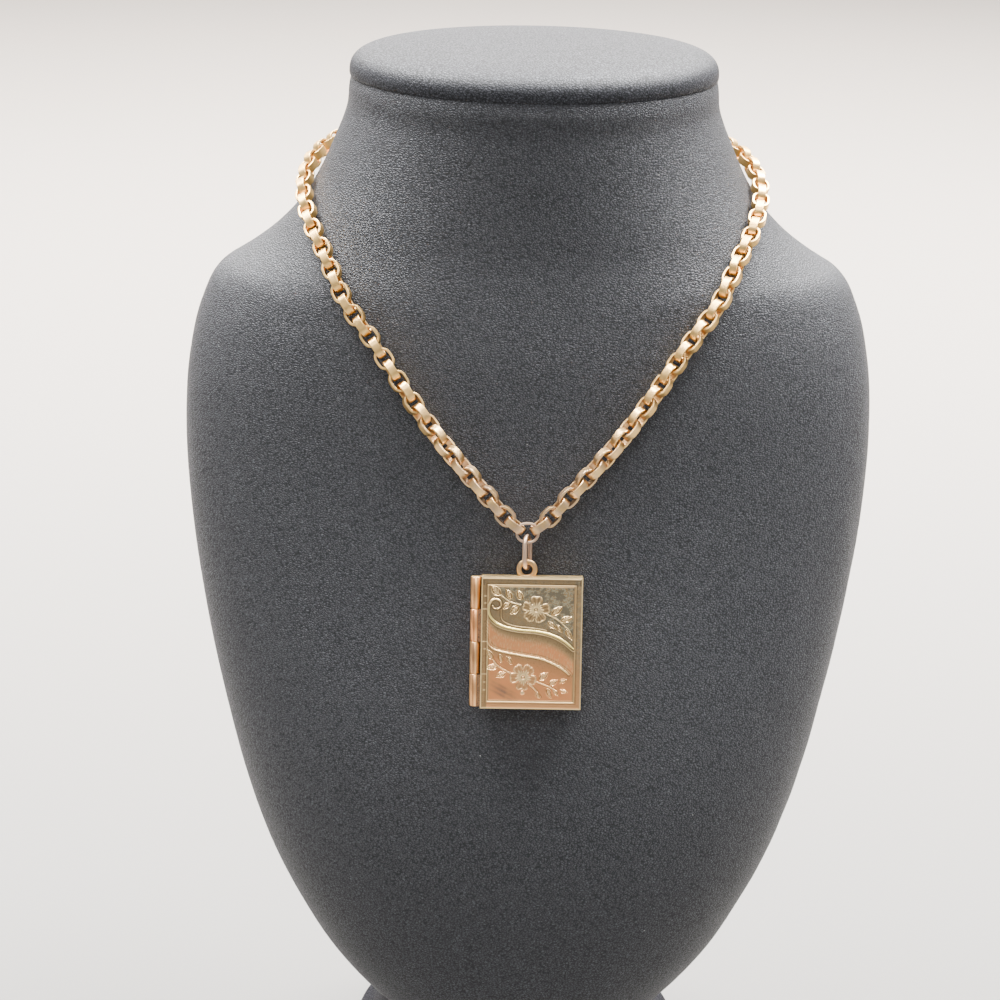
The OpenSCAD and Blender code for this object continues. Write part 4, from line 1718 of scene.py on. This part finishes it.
    def build_ring(self, node: bpy.types.Object) -> None:
        """Builds the jump ring in the place of its node.

        Args:
            node: The jump ring's node.
        """
        form = Form(GOLD_NUMBERS)
        for place in loose_places(node):
            form.add(self.ring.build(), place)
        finish = FilledGold(
            "jump_ring_gold", skin=(0.62, 0.42, 0.29), inner=(0.42, 0.22, 0.13), roughness=0.36
        )
        made = form.piece("jump_ring_wire", "locket", "worn_gold", finish.material())
        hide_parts("jump_ring")

    def build(self, nodes: Nodes) -> None:
        """Builds the locket's pieces and dresses the hinge pin.

        Args:
            nodes: The frame's nodes by name.
        """
        self.build_cover()
        self.build_back()
        self.build_ring(nodes["jump_ring"])
        dress_solid(nodes["hinge_pin"], FilledGold("hinge_pin_gold").material())


# Studio


@dataclass(frozen=True)
class SoftBox:
    """A large soft light: its middle, the point that it faces, its size and its power."""

    name: str
    middle: Place
    target: Place
    width: float
    height: float
    power: float
    colour: Colour = (1.0, 1.0, 1.0)

    def build(self) -> None:
        """Adds the light to the scene."""
        light = bpy.data.lights.new(self.name, "AREA")
        light.shape = "RECTANGLE"
        light.size = self.width
        light.size_y = self.height
        light.energy = self.power
        light.color = self.colour
        made = show(self.name, light)
        made.location = self.middle
        aim = Vector(self.target) - Vector(self.middle)
        made.rotation_euler = aim.to_track_quat("-Z", "Y").to_euler()


@dataclass(frozen=True)
class Studio:
    """The floor, the sky, the soft lights and the camera at the photograph's viewpoint.

    The sky is dim towards the front and near the horizon, and bright where its direction has
    passed both ranges, from behind and from above.
    """

    camera_at: Place = (-6.6 * MM, -478.7 * MM, 366.4 * MM)
    pitch_deg: float = 22.97
    roll_deg: float = 0.95
    lens_mm: float = 74.05
    sensor_mm: float = 36.0
    nearest: float = 0.01
    floor_size: float = 12.0
    sky_back: Span = (-0.35, 0.30)
    sky_top: Span = (0.25, 0.70)
    sky_bright: Colour = (1.0, 0.97, 0.94)
    sky_front: Colour = (0.190, 0.197, 0.214)
    sky_strength: float = 3.2
    boxes: tuple[SoftBox, ...] = (
        SoftBox("overhead", (0.0, 0.60, 1.4), (0.0, 0.0, 0.15), 1.6, 0.9, 8.0),
        SoftBox("behind", (0.0, 1.5, 0.95), (0.0, 0.0, 0.2), 2.2, 0.9, 46.0, (1.0, 0.92, 0.84)),
        SoftBox("front", (-0.2, -0.9, 1.5), (0.0, 0.0, 0.15), 0.9, 0.7, 20.0),
        SoftBox("left", (-0.52, 0.37, 1.3), (0.0, 0.0, 0.18), 0.7, 0.7, 135.0),
        SoftBox("right", (0.52, 0.37, 1.3), (0.0, 0.0, 0.18), 0.7, 0.7, 175.0),
    )

    def _floor(self) -> None:
        """Lays the floor."""
        form = Form()
        bmesh.ops.create_grid(form.bm, x_segments=4, y_segments=4, size=self.floor_size / 2)
        mesh = bpy.data.meshes.new("floor")
        form.bm.to_mesh(mesh)
        form.bm.free()
        mesh.materials.append(FloorPaint("floor_paint").material())
        show("floor", mesh)

    def _sky(self) -> None:
        """Fills the space round the object with pale light, dimmer from the front."""
        world = bpy.data.worlds.new("studio_light")
        world.use_nodes = True
        tree = ShaderTree(world.node_tree)
        way = tree.node("ShaderNodeTexCoord").outputs["Generated"]
        lit = tree.axis(way, "Y").step(*self.sky_back) * tree.axis(way, "Z").step(*self.sky_top)
        colour = tree.mix(self.sky_front, self.sky_bright, lit)
        light = tree.node(
            "ShaderNodeBackground", sockets={"Color": colour, "Strength": self.sky_strength}
        )
        tree.node("ShaderNodeOutputWorld", sockets={"Surface": light.outputs[0]})
        bpy.context.scene.world = world

    def _camera(self) -> None:
        """Sets the camera up."""
        data = bpy.data.cameras.new("camera")
        data.sensor_width = self.sensor_mm
        data.lens = self.lens_mm
        data.clip_start = self.nearest
        tilt = Matrix.Rotation(math.radians(90 - self.pitch_deg), 4, "X")
        roll = Matrix.Rotation(math.radians(self.roll_deg), 4, "Z")
        made = show("camera", data)
        made.matrix_world = Matrix.Translation(self.camera_at) @ tilt @ roll
        bpy.context.scene.camera = made

    def build(self) -> None:
        """Builds the studio."""
        self._camera()
        self._floor()
        self._sky()
        for box in self.boxes:
            box.build()


def main() -> None:
    """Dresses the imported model."""
    logging.basicConfig(level=logging.INFO, format="%(name)s: %(message)s")
    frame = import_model()
    Studio().build()
    nodes = frame["nodes"]
    NeckBust().build(nodes)
    BelcherChain().build(nodes)
    BookLocket(HingePlace.of(frame["joints"])).build(nodes)


if __name__ == "__main__":
    main()
